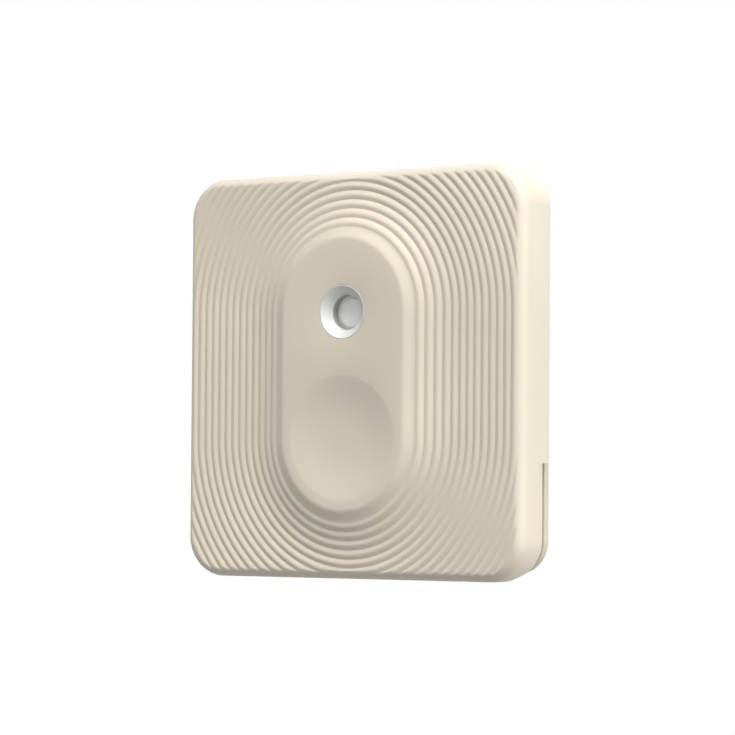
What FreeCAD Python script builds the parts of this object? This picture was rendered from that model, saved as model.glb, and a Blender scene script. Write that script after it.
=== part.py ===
"""Square wall-mounted temperature and humidity sensor with a ribbed front.

Units are millimetres. +Z is up and the front looks along -Y. The origin is the
centre of the adhesive face that sticks to the wall. Most sizes run forward from
that wall face, so the source speaks of depth: depth = -Y.

A shell with a raised pill-shaped boss and concentric ribs holds a circuit
board, a press button in a white funnel, and a coin cell. A back cover stays on
the wall with its adhesive pad, and the sensor pulls off it towards the front.
"""
import FreeCAD
import Part
import math
import os

V = FreeCAD.Vector

# Case outline
CASE_SIDE = 44.0            # width and height of the square case
CORNER_R = 4.4              # plan radius of the case corners
EDGE_R = 1.4                # rounding of the front edge
CREST_CLEAR = 0.06          # the rounding starts this far in front of the rib crests
SIDE_WALL = 1.5
FRONT_WALL = 1.1            # under the floor of the rib grooves
BOSS_WALL = 1.2

# Coin cell, a standard 2032 size
CELL_D = 20.0
CELL_T = 3.2
CELL_SHEET = 0.25           # steel sheet of the can and the cap
CELL_STEP = 0.3             # cap stands this far in front of the can's rim
CELL_LIP = 0.7              # rim of the can, rolled inwards
CELL_EDGE_R = 0.4
CELL_FIT = 0.25             # radial gap between the cell and its ring
GASKET_T = 0.25

# Back cover and what is on it
PAD_PROUD = 0.2             # the adhesive stands proud of the cover
PAD_T = 0.5
PAD_SIDE = 30.6
PAD_CORNER_R = 2.8
PAD_GAP = 0.2
COVER_T = 1.2
COVER_INSET = 0.7           # cover edge inside the case outline
COVER_LIP = 0.45            # front part of the cover's edge, which stands out
COVER_STEP = 0.12           # the rest of the edge steps in by this
COVER_EDGE_R = 0.25
RIM_GAP = 0.15              # shadow gap between the cover plate and the case rim
SPIGOT_T = 0.8
SPIGOT_DEPTH = 1.2
SPIGOT_GAP = 0.1
CELL_PAD_R = 7.0
CELL_PAD_T = 0.2
CELL_PAD_GAP = 0.02
COVER_POCKET_GAP = 0.6      # round pocket in the cover, past the cell's edge
TONGUE_W = 5.0
TONGUE_T = 1.0
TONGUE_LENGTH = 3.0
TONGUE_FIT = 0.04
TONGUE_INSET = 2.6          # from the case wall to the middle of a tongue

# Circuit board
BOARD_T = 0.6
BOARD_GAP = 1.3             # board edge to the case wall
BOARD_CORNER_R = 2.0
CONTACT_GAP = 0.3           # between the cell and the board
SEAT_H = 0.4
SEAT_R = 1.2
SEAT_INSET = 3.9            # from the case wall
SEAT_SPREAD = 7.5

# Inner frame with the cell ring, and its screws
FRAME_T = 1.0
FRAME_GAP = 0.5             # frame edge to the case wall
FRAME_CLEAR = 0.2           # frame in front of the cover's spigot
RING_WALL = 1.2
RING_TOP_CLEAR = 0.5        # ring stops this far in front of the cover
NAIL_NOTCH_W = 7.0
POST_INSET = 4.6            # from the case wall
POST_R = 1.8
POST_CLEAR = 0.3
PIN_R = 0.6
PIN_INSET = 6.0             # from the case wall
PIN_SPREAD = 5.0            # above and below the middle
PIN_CLEAR = 0.1
PIN_PROUD = 0.3
SCREW_R = 0.7
SCREW_LENGTH = 2.8
SCREW_FIT = 0.01
SCREW_HOLE_GAP = 0.1
SCREW_HEAD_R = 1.25
SCREW_HEAD_H = 0.6
SCREW_SPARE = 0.1           # pilot hole past the screw's end
SCREW_CROSS_L = 1.5
SCREW_CROSS_W = 0.35
SCREW_CROSS_DEPTH = 0.3

# Ribbed front, measured from the medial line of the boss
BOSS_RISE = 1.48            # boss top in front of the groove floor
BOSS_HALF = 6.85            # half the straight length of the boss
BOSS_FLAT_R = 7.6
SHOULDER_RUN = 1.47         # from the flat boss top out to the first groove
SHOULDER_R = 1.3            # rounding from the boss top into its sloping side
BOSS_POCKET_R = 7.0
RIB_PITCH = 0.934
RIB_DEPTH = 0.15
RIB_START_R = BOSS_FLAT_R + SHOULDER_RUN
FLARE_RISE = 0.92           # groove floor at the first rib
FLARE_RIBS = 4              # wider ribs next to the boss
FLARE_PITCH = 1.0
DISH_R = 6.8
DISH_FLAT_R = 3.0           # level middle of the dish
DISH_DEPTH = 0.55
DISH_Z = -6.84

# Button in its funnel
PORT_Z = 6.7
PORT_R = 2.95
PORT_FIT = 0.02
FUNNEL_MOUTH_R = 2.83
THROAT_R = 1.9
THROAT_DEPTH = 0.96
PORT_LENGTH = 2.0
BEZEL_FLANGE_R = 3.9
BEZEL_FLANGE_T = 0.25
BEZEL_TUBE_R = 2.6
BUTTON_R = 1.6
BUTTON_RECESS = 1.75
BUTTON_EDGE_R = 0.12
BUTTON_FLANGE_R = 2.5
BUTTON_FLANGE_T = 0.25
BUTTON_GAP = 0.03
BUTTON_TRAVEL = 0.25
SWITCH_SIDE = 3.4
PLUNGER_R = 0.8
PLUNGER_H = 0.4
PLUNGER_FIT = 0.06
TRAVEL_SPARE = 0.05

# Parts on the front of the board
SENSOR_X = 4.7
SENSOR_SIDE = 2.5
SENSOR_H = 0.9
SENSOR_EYE_R = 0.5
SENSOR_EYE_DEPTH = 0.2
FOAM_WALL_X = 0.35
FOAM_WALL_Z = 0.55
FOAM_GAP = 0.2
FOAM_CLEAR = 0.05
LED_W = 0.8
LED_L = 1.6
LED_H = 0.6
LED_GAP = 0.4
CHIP_SIDE = 5.0
CHIP_H = 0.85
CHIP_Z = -2.6
CRYSTAL_L = 3.2
CRYSTAL_W = 1.6
CRYSTAL_H = 0.6
CRYSTAL_GAP = 0.7
SHIELD_SIDE = 10.0
SHIELD_H = 1.25
SHIELD_T = 0.15
SHIELD_Z = -3.2
ANTENNA_L = 3.2
ANTENNA_W = 1.6
ANTENNA_H = 1.1
ANTENNA_GAP = 2.0
SMALL_L = 1.0
SMALL_W = 0.5
SMALL_H = 0.4
SMALL_STEP = 1.3
SMALL_COUNT = 5
SMALL_X = 6.0
SMALL_TOP_Z = 2.0
BULK_L = 3.2
BULK_W = 1.6
BULK_H = 0.9
BULK_INSET = 6.7            # from the case wall
BULK_Z = -8.5

# Cell contacts
NEGATIVE_R = 6.0
NEGATIVE_T = 0.1
DIMPLE_COUNT = 3
DIMPLE_PLACE = 3.5
DIMPLE_R = 1.0
CONTACT_TOUCH = 0.02        # gap where a contact meets the cell
CLIP_T = 0.15
CLIP_W = 4.0
CLIP_SLOT_GAP = 0.4
CLIP_FOOT = 2.1
CLIP_BACK = 1.0             # from the cell's side to the clip's upright
CLIP_BEND = 0.11            # from the clip's centre line to the outside of its bend
CLIP_BELLY = 1.4            # from the board to the point that touches the cell
CLIP_TIP = 2.3

# Pry notch in the rear edge, round the lower +X corner
NOTCH_REACH = 12.5          # up the side and along the bottom, from the outside of the case
NOTCH_CORNER_R = 1.3
SCOOP_START = 3.03          # behind the groove floor, where the scoop begins
SCOOP_END = 4.53            # behind the groove floor, where the wall is open
SCOOP_DROP = 0.32

# Depths in front of the wall, worked out from the stack of parts
COVER_BACK = PAD_PROUD
COVER_FRONT = COVER_BACK + COVER_T
CASE_RIM = COVER_FRONT + RIM_GAP
CELL_BACK = COVER_FRONT
CELL_FRONT = CELL_BACK + CELL_T
BOARD_BACK = CELL_FRONT + CONTACT_GAP
BOARD_FRONT = BOARD_BACK + BOARD_T
CEILING = BOARD_FRONT + SEAT_H
GROOVE_FLOOR = CEILING + FRONT_WALL
CREST = GROOVE_FLOOR + RIB_DEPTH
BOSS_TOP = GROOVE_FLOOR + BOSS_RISE
BOSS_CEILING = BOSS_TOP - BOSS_WALL
SPIGOT_FRONT = COVER_FRONT + SPIGOT_DEPTH
FRAME_BACK = SPIGOT_FRONT + FRAME_CLEAR
FRAME_FRONT = FRAME_BACK + FRAME_T
BEZEL_BACK = BOSS_TOP - PORT_LENGTH
FLANGE_FRONT = BEZEL_BACK - BUTTON_GAP
FLANGE_BACK = FLANGE_FRONT - BUTTON_FLANGE_T
SWITCH_TOP = FLANGE_BACK - BUTTON_TRAVEL - TRAVEL_SPARE

# Plan sizes worked out from the outline
CASE_HALF = CASE_SIDE / 2
INNER_HALF = CASE_HALF - SIDE_WALL
CELL_R = CELL_D / 2
RING_IN_R = CELL_R + CELL_FIT
RING_OUT_R = RING_IN_R + RING_WALL
CAP_R = CELL_R - CELL_SHEET - CELL_LIP - GASKET_T
POST_PLACE = INNER_HALF - POST_INSET
POST_CENTRES = [(sx * POST_PLACE, sz * POST_PLACE) for sx in (-1, 1) for sz in (-1, 1)]
PIN_PLACE = INNER_HALF - PIN_INSET
PIN_CENTRES = [(-PIN_PLACE, -PIN_SPREAD), (PIN_PLACE, PIN_SPREAD)]
SEAT_PLACE = INNER_HALF - SEAT_INSET
TONGUE_PLACE = INNER_HALF - TONGUE_INSET
PAST = 1.0                  # cutting tools run this far past a face
NEAR = 0.01                 # two depths closer than this are the same


def at(x, depth, z):
    """A point from its place across, its depth in front of the wall and its height."""
    return V(x, -depth, z)


def block(x, z, width, height, back, front):
    """A box centred on (x, z) between two depths."""
    corner = at(x - width / 2, front, z - height / 2)
    return Part.makeBox(width, front - back, height, corner)


def rod(x, z, radius, back, front):
    """A round bar along the depth."""
    return Part.makeCylinder(radius, front - back, at(x, back, z), V(0, -1, 0))


def rounded_square(half, corner, back):
    """A wire round a square with round corners, centred on the case, at one depth."""
    straight = half - corner
    edges = []
    for turn in range(4):
        start = math.radians(90 * turn)
        ax, az = math.cos(start), math.sin(start)
        bx, bz = -az, ax
        side_a = at(half * ax - straight * bx, back, half * az - straight * bz)
        side_b = at(half * ax + straight * bx, back, half * az + straight * bz)
        centre_x = straight * (ax + bx)
        centre_z = straight * (az + bz)
        reach = corner / math.sqrt(2)
        middle = at(centre_x + reach * (ax + bx), back, centre_z + reach * (az + bz))
        end = at(half * bx + straight * ax, back, half * bz + straight * az)
        edges.append(Part.makeLine(side_a, side_b))
        edges.append(Part.Arc(side_b, middle, end).toShape())
    return Part.Wire(edges)


def slab(half, corner, back, front):
    """A rounded square plate centred on the case, between two depths."""
    return Part.Face(rounded_square(half, corner, back)).extrude(at(0, front - back, 0))


def pill(radius, half_length, back, front):
    """An upright plate with two round ends between two depths."""
    top_right = at(radius, back, half_length)
    top_left = at(-radius, back, half_length)
    low_right = at(radius, back, -half_length)
    low_left = at(-radius, back, -half_length)
    edges = [
        Part.Arc(top_right, at(0, back, half_length + radius), top_left).toShape(),
        Part.makeLine(top_left, low_left),
        Part.Arc(low_left, at(0, back, -half_length - radius), low_right).toShape(),
        Part.makeLine(low_right, top_right),
    ]
    return Part.Face(Part.Wire(edges)).extrude(at(0, front - back, 0))


def turned(outline, x, z):
    """A solid turned about the depth line through (x, z) from (radius, depth) points."""
    points = [at(x + radius, depth, z) for radius, depth in outline]
    face = Part.Face(Part.makePolygon(points + points[:1]))
    return face.revolve(at(x, 0, z), V(0, 1, 0), 360)


def strip(outline, thickness, width, z):
    """A bent metal strip: a centre line of (x, depth) points given thickness and width."""
    sides = [[], []]
    for index, (x, depth) in enumerate(outline):
        before = outline[max(index - 1, 0)]
        after = outline[min(index + 1, len(outline) - 1)]
        normals = []
        for start, end in ((before, (x, depth)), ((x, depth), after)):
            length = math.hypot(end[0] - start[0], end[1] - start[1])
            if length > 0:
                normals.append(((start[1] - end[1]) / length, (end[0] - start[0]) / length))
        nx = sum(n[0] for n in normals)
        nd = sum(n[1] for n in normals)
        size = math.hypot(nx, nd)
        spread = len(normals) / size
        for side, sign in zip(sides, (-1, 1)):
            reach = sign * spread * thickness / 2 / size
            side.append(at(x + nx * reach, depth + nd * reach, z - width / 2))
    points = sides[0] + sides[1][::-1]
    return Part.Face(Part.makePolygon(points + points[:1])).extrude(V(0, 0, width))


def edges_at(solid, depth):
    """The edges of a solid whose centres lie at one depth."""
    return [e for e in solid.Edges if abs(e.CenterOfMass.y + depth) < NEAR]


def joined(first, others):
    """One solid from several that touch or overlap."""
    return first.fuse(others).removeSplitter()


def flare(radius):
    """Groove floor's rise: it falls with the square of the distance to the flat ribs."""
    span = FLARE_RIBS * FLARE_PITCH + RIB_PITCH
    left = max(0.0, RIB_START_R + span - radius) / span
    return FLARE_RISE * left ** 2


def groove_places():
    """The grooves' distances from the medial line, out to past the case corners."""
    reach = math.hypot(CASE_HALF, CASE_HALF - BOSS_HALF) + PAST
    places = [RIB_START_R + index * FLARE_PITCH for index in range(FLARE_RIBS + 1)]
    while places[-1] < reach:
        places.append(places[-1] + RIB_PITCH)
    return places


def shoulder_turn():
    """The angle of the shoulder's arc, which ends in a straight slope to the first groove."""
    run = RIB_START_R - BOSS_FLAT_R
    below = SHOULDER_R - (BOSS_RISE - FLARE_RISE)
    return math.atan2(run, below) - math.acos(SHOULDER_R / math.hypot(run, below))


def rib_section():
    """Half section of the front: flat boss, rounded shoulder, slope and an arc per rib."""
    angle = shoulder_turn()
    flat_end = at(BOSS_FLAT_R, BOSS_TOP, 0)
    middle, slope_start = [
        at(BOSS_FLAT_R + SHOULDER_R * math.sin(turn),
           BOSS_TOP - SHOULDER_R * (1 - math.cos(turn)), 0) for turn in (angle / 2, angle)]
    places = groove_places()
    groove = at(places[0], GROOVE_FLOOR + flare(places[0]), 0)
    edges = [
        Part.makeLine(at(0, CEILING, 0), at(0, BOSS_TOP, 0)),
        Part.makeLine(at(0, BOSS_TOP, 0), flat_end),
        Part.Arc(flat_end, middle, slope_start).toShape(),
        Part.makeLine(slope_start, groove),
    ]
    for near, far in zip(places, places[1:]):
        crest_rise = (flare(near) + flare(far)) / 2 + RIB_DEPTH
        crest = at((near + far) / 2, GROOVE_FLOOR + crest_rise, 0)
        next_groove = at(far, GROOVE_FLOOR + flare(far), 0)
        edges.append(Part.Arc(groove, crest, next_groove).toShape())
        groove = next_groove
    foot = at(groove.x, CEILING, 0)
    edges.append(Part.makeLine(groove, foot))
    edges.append(Part.makeLine(foot, at(0, CEILING, 0)))
    return Part.Face(Part.Wire(edges))


def ribbed_front():
    """The ribbed relief over the whole front: two turned ends and a straight middle."""
    section = rib_section()
    upper = section.copy()
    upper.translate(V(0, 0, BOSS_HALF))
    lower = section.copy()
    lower.translate(V(0, 0, -BOSS_HALF))
    top_end = upper.revolve(V(0, 0, BOSS_HALF), V(0, -1, 0), 180)
    low_end = lower.revolve(V(0, 0, -BOSS_HALF), V(0, 1, 0), 180)
    right = lower.extrude(V(0, 0, 2 * BOSS_HALF))
    left = right.mirror(V(0, 0, 0), V(1, 0, 0))
    return joined(right, [left, top_end, low_end])


def rounded_block():
    """A block with the case's outline and rounded front edge, and a free middle for the boss."""
    front = CREST + CREST_CLEAR
    block_out = slab(CASE_HALF, CORNER_R, CASE_RIM, front)
    block_out = block_out.makeFillet(EDGE_R, edges_at(block_out, front))
    middle = slab(CASE_HALF - EDGE_R, CORNER_R - EDGE_R, front - EDGE_R, BOSS_TOP + 2 * PAST)
    return block_out.fuse(middle)


def notch_tool():
    """The opening for a fingernail or a coin, whose scooped front follows the corner."""
    start = GROOVE_FLOOR - SCOOP_START
    end = GROOVE_FLOOR - SCOOP_END
    slope = SCOOP_DROP / (start - end)
    front = start + SCOOP_DROP / 2
    inner = INNER_HALF - 2 * PAST
    outer = CASE_HALF + PAST
    top = NOTCH_REACH - CASE_HALF
    side = Part.makeBox(outer - inner, front - CASE_RIM + PAST, outer + top,
                        at(inner, front, -outer))
    side = side.makeFillet(NOTCH_CORNER_R, [e for e in edges_at(side, front)
                                            if abs(e.CenterOfMass.z - top) < NEAR])
    bottom = Part.makeBox(outer + top, front - CASE_RIM + PAST, outer - inner,
                          at(-top, front, -outer))
    bottom = bottom.makeFillet(NOTCH_CORNER_R, [e for e in edges_at(bottom, front)
                                                if abs(e.CenterOfMass.x + top) < NEAR])
    rear_edge = rounded_square(CASE_HALF - SCOOP_DROP, CORNER_R - SCOOP_DROP, end)
    flare_out = slope * PAST
    front_edge = rounded_square(CASE_HALF + flare_out, CORNER_R + flare_out, start + PAST)
    scoop = Part.makeLoft([rear_edge, front_edge], True, True)
    return side.fuse(bottom).cut(scoop)


def front_housing():
    """The ivory shell with its boss, ribs, posts, pins and board seats."""
    block_out = rounded_block()
    body = slab(CASE_HALF, CORNER_R, CASE_RIM, CEILING).common(block_out)
    relief = ribbed_front().common(slab(CASE_HALF, CORNER_R, CEILING, BOSS_TOP + PAST))
    shell = joined(body, [relief.common(block_out)])
    shell = shell.cut(slab(INNER_HALF, CORNER_R - SIDE_WALL, CASE_RIM - PAST, CEILING))
    shell = shell.cut(pill(BOSS_POCKET_R, BOSS_HALF, CEILING - PAST, BOSS_CEILING))
    shell = shell.cut(Part.makeCone(DISH_FLAT_R, DISH_R, DISH_DEPTH,
                                    at(0, BOSS_TOP - DISH_DEPTH, DISH_Z), V(0, -1, 0)))
    shell = shell.cut(rod(0, PORT_Z, PORT_R, CEILING, BOSS_TOP + PAST))
    shell = shell.cut(notch_tool())
    posts = [rod(x, z, POST_R, FRAME_FRONT, CEILING) for x, z in POST_CENTRES]
    pins = [rod(x, z, PIN_R, BOARD_BACK - PIN_PROUD, CEILING) for x, z in PIN_CENTRES]
    seats = []
    for sign in (-1, 1):
        for place in (-SEAT_SPREAD, SEAT_SPREAD):
            seats.append(rod(place, sign * SEAT_PLACE, SEAT_R, BOARD_FRONT, CEILING))
            seats.append(rod(sign * SEAT_PLACE, place, SEAT_R, BOARD_FRONT, CEILING))
    shell = joined(shell, posts + pins + seats)
    pilot_end = FRAME_BACK + SCREW_LENGTH + SCREW_SPARE
    for x, z in POST_CENTRES:
        shell = shell.cut(rod(x, z, SCREW_R + SCREW_FIT, FRAME_FRONT - PAST, pilot_end))
    return shell


def port_bezel():
    """The white funnel, with a flange behind the front wall and a guide tube."""
    outer = PORT_R - PORT_FIT
    outline = [
        (FUNNEL_MOUTH_R, BOSS_TOP),
        (outer, BOSS_TOP),
        (outer, BOSS_CEILING),
        (BEZEL_FLANGE_R, BOSS_CEILING),
        (BEZEL_FLANGE_R, BOSS_CEILING - BEZEL_FLANGE_T),
        (BEZEL_TUBE_R, BOSS_CEILING - BEZEL_FLANGE_T),
        (BEZEL_TUBE_R, BEZEL_BACK),
        (THROAT_R, BEZEL_BACK),
        (THROAT_R, BOSS_TOP - THROAT_DEPTH),
    ]
    return turned(outline, 0, PORT_Z)


def control_button():
    """The round grey button: a plain face on a stem with a catching flange."""
    face = BOSS_TOP - BUTTON_RECESS
    stem = rod(0, PORT_Z, BUTTON_R, FLANGE_BACK, face)
    stem = stem.makeFillet(BUTTON_EDGE_R, edges_at(stem, face))
    return joined(stem, [rod(0, PORT_Z, BUTTON_FLANGE_R, FLANGE_BACK, FLANGE_FRONT)])


def switch_body():
    """The flat press switch under the button, with a hole for its plunger."""
    case = block(0, PORT_Z, SWITCH_SIDE, SWITCH_SIDE, BOARD_FRONT, SWITCH_TOP)
    hole = rod(0, PORT_Z, PLUNGER_R + PLUNGER_FIT, BOARD_FRONT - PAST, SWITCH_TOP + PAST)
    return case.cut(hole)


def switch_plunger():
    """The plunger between the button's flange and the switch."""
    return rod(0, PORT_Z, PLUNGER_R, FLANGE_BACK - PLUNGER_H, FLANGE_BACK)


def circuit_board():
    """The board, with clearance round the posts and holes for the pins."""
    half = INNER_HALF - BOARD_GAP
    board = slab(half, BOARD_CORNER_R, BOARD_BACK, BOARD_FRONT)
    for x, z in POST_CENTRES:
        board = board.cut(rod(x, z, POST_R + POST_CLEAR, BOARD_BACK - PAST, BOARD_FRONT + PAST))
    for x, z in PIN_CENTRES:
        board = board.cut(rod(x, z, PIN_R + PIN_CLEAR, BOARD_BACK - PAST, BOARD_FRONT + PAST))
    return board


def humidity_sensor():
    """The sensing chip with its small eye, beside the port."""
    top = BOARD_FRONT + SENSOR_H
    chip = block(SENSOR_X, PORT_Z, SENSOR_SIDE, SENSOR_SIDE, BOARD_FRONT, top)
    eye = rod(SENSOR_X, PORT_Z, SENSOR_EYE_R, top - SENSOR_EYE_DEPTH, top + PAST)
    return chip.cut(eye)


def sensor_gasket():
    """Foam round three sides of the sensing chip, open towards the port."""
    top = BOSS_CEILING - BEZEL_FLANGE_T - FOAM_CLEAR
    inner = SENSOR_SIDE + 2 * FOAM_GAP
    width = inner + 2 * FOAM_WALL_X
    height = inner + 2 * FOAM_WALL_Z
    foam = block(SENSOR_X, PORT_Z, width, height, BOARD_FRONT, top)
    open_x = SENSOR_X - PAST / 2
    opening = block(open_x, PORT_Z, inner + PAST, inner, BOARD_FRONT - PAST, top + PAST)
    return foam.cut(opening)


def status_led():
    """The light beside the button's flange."""
    x = -(BUTTON_FLANGE_R + LED_GAP + LED_W / 2)
    return block(x, PORT_Z, LED_W, LED_L, BOARD_FRONT, BOARD_FRONT + LED_H)


def radio_chip():
    """The radio and processor chip under the shield."""
    return block(0, CHIP_Z, CHIP_SIDE, CHIP_SIDE, BOARD_FRONT, BOARD_FRONT + CHIP_H)


def crystal():
    """The crystal can below the radio chip."""
    z = CHIP_Z - CHIP_SIDE / 2 - CRYSTAL_GAP - CRYSTAL_W / 2
    return block(0, z, CRYSTAL_L, CRYSTAL_W, BOARD_FRONT, BOARD_FRONT + CRYSTAL_H)


def shield_can():
    """The sheet metal box over the radio chip and crystal."""
    top = BOARD_FRONT + SHIELD_H
    inner = SHIELD_SIDE - 2 * SHIELD_T
    box = block(0, SHIELD_Z, SHIELD_SIDE, SHIELD_SIDE, BOARD_FRONT, top)
    return box.cut(block(0, SHIELD_Z, inner, inner, BOARD_FRONT - PAST, top - SHIELD_T))


def chip_antenna():
    """The ceramic antenna below the shield."""
    z = SHIELD_Z - SHIELD_SIDE / 2 - ANTENNA_GAP - ANTENNA_W / 2
    return block(0, z, ANTENNA_L, ANTENNA_W, BOARD_FRONT, BOARD_FRONT + ANTENNA_H)


def board_passives():
    """Two columns of small resistors and capacitors beside the shield."""
    chips = []
    for side in (-1, 1):
        for row in range(SMALL_COUNT):
            z = SMALL_TOP_Z - row * SMALL_STEP
            chips.append(block(side * SMALL_X, z, SMALL_W, SMALL_L, BOARD_FRONT,
                               BOARD_FRONT + SMALL_H))
    return Part.makeCompound(chips)


def bulk_capacitor():
    """The larger capacitor on the back of the board, outside the cell ring."""
    x = BULK_INSET - INNER_HALF
    return block(x, BULK_Z, BULK_W, BULK_L, BOARD_BACK - BULK_H, BOARD_BACK)


def inner_frame():
    """The frame that clamps the board, rings the cell and guides the cover's tongues."""
    plate = slab(INNER_HALF - FRAME_GAP, CORNER_R - SIDE_WALL - FRAME_GAP, FRAME_BACK, FRAME_FRONT)
    ring_back = COVER_FRONT + RING_TOP_CLEAR
    frame = joined(plate, [rod(0, 0, RING_OUT_R, ring_back, BOARD_BACK)])
    frame = frame.cut(rod(0, 0, RING_IN_R, ring_back - PAST, BOARD_BACK + PAST))
    clip_reach = RING_OUT_R + CLIP_SLOT_GAP - CELL_R
    clip_slot = block(CELL_R + clip_reach / 2, 0, clip_reach, CLIP_W + 2 * CLIP_SLOT_GAP,
                      ring_back - PAST, BOARD_BACK + PAST)
    nail_notch = block(-(RING_IN_R + RING_WALL / 2), 0, RING_WALL + PAST, NAIL_NOTCH_W,
                       ring_back - PAST, FRAME_BACK)
    frame = frame.cut([clip_slot, nail_notch])
    for x, z in POST_CENTRES:
        frame = frame.cut(rod(x, z, SCREW_R + SCREW_HOLE_GAP, FRAME_BACK - PAST, FRAME_FRONT + PAST))
    long_side = TONGUE_W + 2 * TONGUE_FIT
    short_side = TONGUE_T + 2 * TONGUE_FIT
    for x, z, width, height in tongue_places(long_side, short_side):
        frame = frame.cut(block(x, z, width, height, FRAME_BACK - PAST, FRAME_FRONT + PAST))
    return frame


def tongue_places(long_side, short_side):
    """Centre and size of the four tongues, or of the slots that take them."""
    return [
        (TONGUE_PLACE, 0, short_side, long_side),
        (-TONGUE_PLACE, 0, short_side, long_side),
        (0, TONGUE_PLACE, long_side, short_side),
        (0, -TONGUE_PLACE, long_side, short_side),
    ]


def frame_screws():
    """Four small cross-head screws through the frame into the case posts."""
    screws = []
    head_back = FRAME_BACK - SCREW_HEAD_H
    cross_front = head_back + SCREW_CROSS_DEPTH
    for x, z in POST_CENTRES:
        screw = joined(rod(x, z, SCREW_HEAD_R, head_back, FRAME_BACK),
                       [rod(x, z, SCREW_R, FRAME_BACK, FRAME_BACK + SCREW_LENGTH)])
        upright = block(x, z, SCREW_CROSS_W, SCREW_CROSS_L, head_back - PAST, cross_front)
        level = block(x, z, SCREW_CROSS_L, SCREW_CROSS_W, head_back - PAST, cross_front)
        screws.append(screw.cut([upright, level]))
    return Part.makeCompound(screws)


def negative_contact():
    """A round plate on the board with three dimples that meet the cell's cap."""
    plate_back = BOARD_BACK - NEGATIVE_T
    tip = CELL_FRONT + CONTACT_TOUCH
    dimples = []
    for index in range(DIMPLE_COUNT):
        angle = 2 * math.pi * index / DIMPLE_COUNT
        x = DIMPLE_PLACE * math.sin(angle)
        z = DIMPLE_PLACE * math.cos(angle)
        ball = Part.makeSphere(DIMPLE_R, at(x, tip + DIMPLE_R, z))
        dimples.append(ball.common(rod(x, z, DIMPLE_R, tip - PAST, BOARD_BACK - NEGATIVE_T / 2)))
    return joined(rod(0, 0, NEGATIVE_R, plate_back, BOARD_BACK), dimples)


def positive_contact():
    """A bent clip from the board to the side of the cell's can."""
    foot_depth = BOARD_BACK - CLIP_T / 2
    back_x = CELL_R + CLIP_BACK
    belly_x = CELL_R + CONTACT_TOUCH + CLIP_BEND
    outline = [
        (back_x + CLIP_FOOT, foot_depth),
        (back_x, foot_depth),
        (back_x, BOARD_BACK - CLIP_BELLY / 2),
        (belly_x, BOARD_BACK - CLIP_BELLY),
        (belly_x + (back_x - belly_x) / 2, BOARD_BACK - CLIP_TIP),
    ]
    return strip(outline, CLIP_T, CLIP_W, 0)


def cell_can():
    """The cell's positive can: a shallow cup with its rim rolled inwards."""
    rim = CELL_FRONT - CELL_STEP
    inner_r = CELL_R - CELL_SHEET
    cup = rod(0, 0, CELL_R, CELL_BACK, rim)
    cup = cup.makeFillet(CELL_EDGE_R, edges_at(cup, CELL_BACK))
    hollow_r = inner_r - CELL_EDGE_R / 2
    cup = cup.cut(rod(0, 0, hollow_r, CELL_BACK + CELL_SHEET, rim - CELL_SHEET))
    return cup.cut(rod(0, 0, inner_r - CELL_LIP, CELL_BACK + CELL_SHEET, rim + PAST))


def cell_cap():
    """The cell's negative cap, standing in front of the can's rim."""
    lid = rod(0, 0, CAP_R, CELL_FRONT - CELL_STEP - CELL_SHEET, CELL_FRONT)
    lid = lid.makeFillet(CELL_SHEET, edges_at(lid, CELL_FRONT))
    inside = rod(0, 0, CAP_R - CELL_SHEET, CELL_BACK, CELL_FRONT - CELL_SHEET)
    return lid.cut(inside)


def cell_gasket():
    """The plastic ring that parts the cap from the can."""
    outer = CELL_R - CELL_SHEET - CELL_LIP
    rim = CELL_FRONT - CELL_STEP
    ring = rod(0, 0, outer, rim - CELL_SHEET, rim)
    return ring.cut(rod(0, 0, CAP_R, rim - CELL_SHEET - PAST, rim + PAST))


def cell_core():
    """The pressed core of the cell, between the can's floor and the cap."""
    radius = CELL_R - CELL_SHEET - CELL_EDGE_R / 2 - GASKET_T
    return rod(0, 0, radius, CELL_BACK + CELL_SHEET, CELL_FRONT - CELL_STEP - CELL_SHEET)


def back_cover():
    """The cover on the wall: plate, spigot, cell pocket, pad recess and four tongues."""
    half = CASE_HALF - COVER_INSET
    corner = CORNER_R - COVER_INSET
    step = COVER_FRONT - COVER_LIP
    rear = slab(half - COVER_STEP, corner - COVER_STEP, COVER_BACK, step)
    rear = rear.makeFillet(COVER_EDGE_R, edges_at(rear, COVER_BACK))
    front = slab(half, corner, step, COVER_FRONT)
    spigot_half = INNER_HALF - SPIGOT_GAP
    spigot_corner = CORNER_R - SIDE_WALL - SPIGOT_GAP
    spigot = slab(spigot_half, spigot_corner, COVER_FRONT, SPIGOT_FRONT)
    spigot = spigot.cut(slab(spigot_half - SPIGOT_T, spigot_corner - SPIGOT_T,
                             COVER_FRONT - PAST, SPIGOT_FRONT + PAST))
    tongues = [block(x, z, width, height, COVER_FRONT, COVER_FRONT + TONGUE_LENGTH)
               for x, z, width, height in tongue_places(TONGUE_W, TONGUE_T)]
    cover = joined(front, [rear, spigot] + tongues)
    pocket = rod(0, 0, CELL_R + COVER_POCKET_GAP, COVER_FRONT - CELL_PAD_T, COVER_FRONT + PAST)
    recess = slab(PAD_SIDE / 2 + PAD_GAP, PAD_CORNER_R + PAD_GAP, COVER_BACK - PAST, PAD_T)
    return cover.cut([pocket, recess])


def cell_pad():
    """The thin foam disc that presses on the cell."""
    return rod(0, 0, CELL_PAD_R, COVER_FRONT - CELL_PAD_T, CELL_BACK - CELL_PAD_GAP)


def adhesive_pad():
    """The double-sided foam pad that sticks to the wall."""
    return slab(PAD_SIDE / 2, PAD_CORNER_R, 0, PAD_T)


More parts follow.
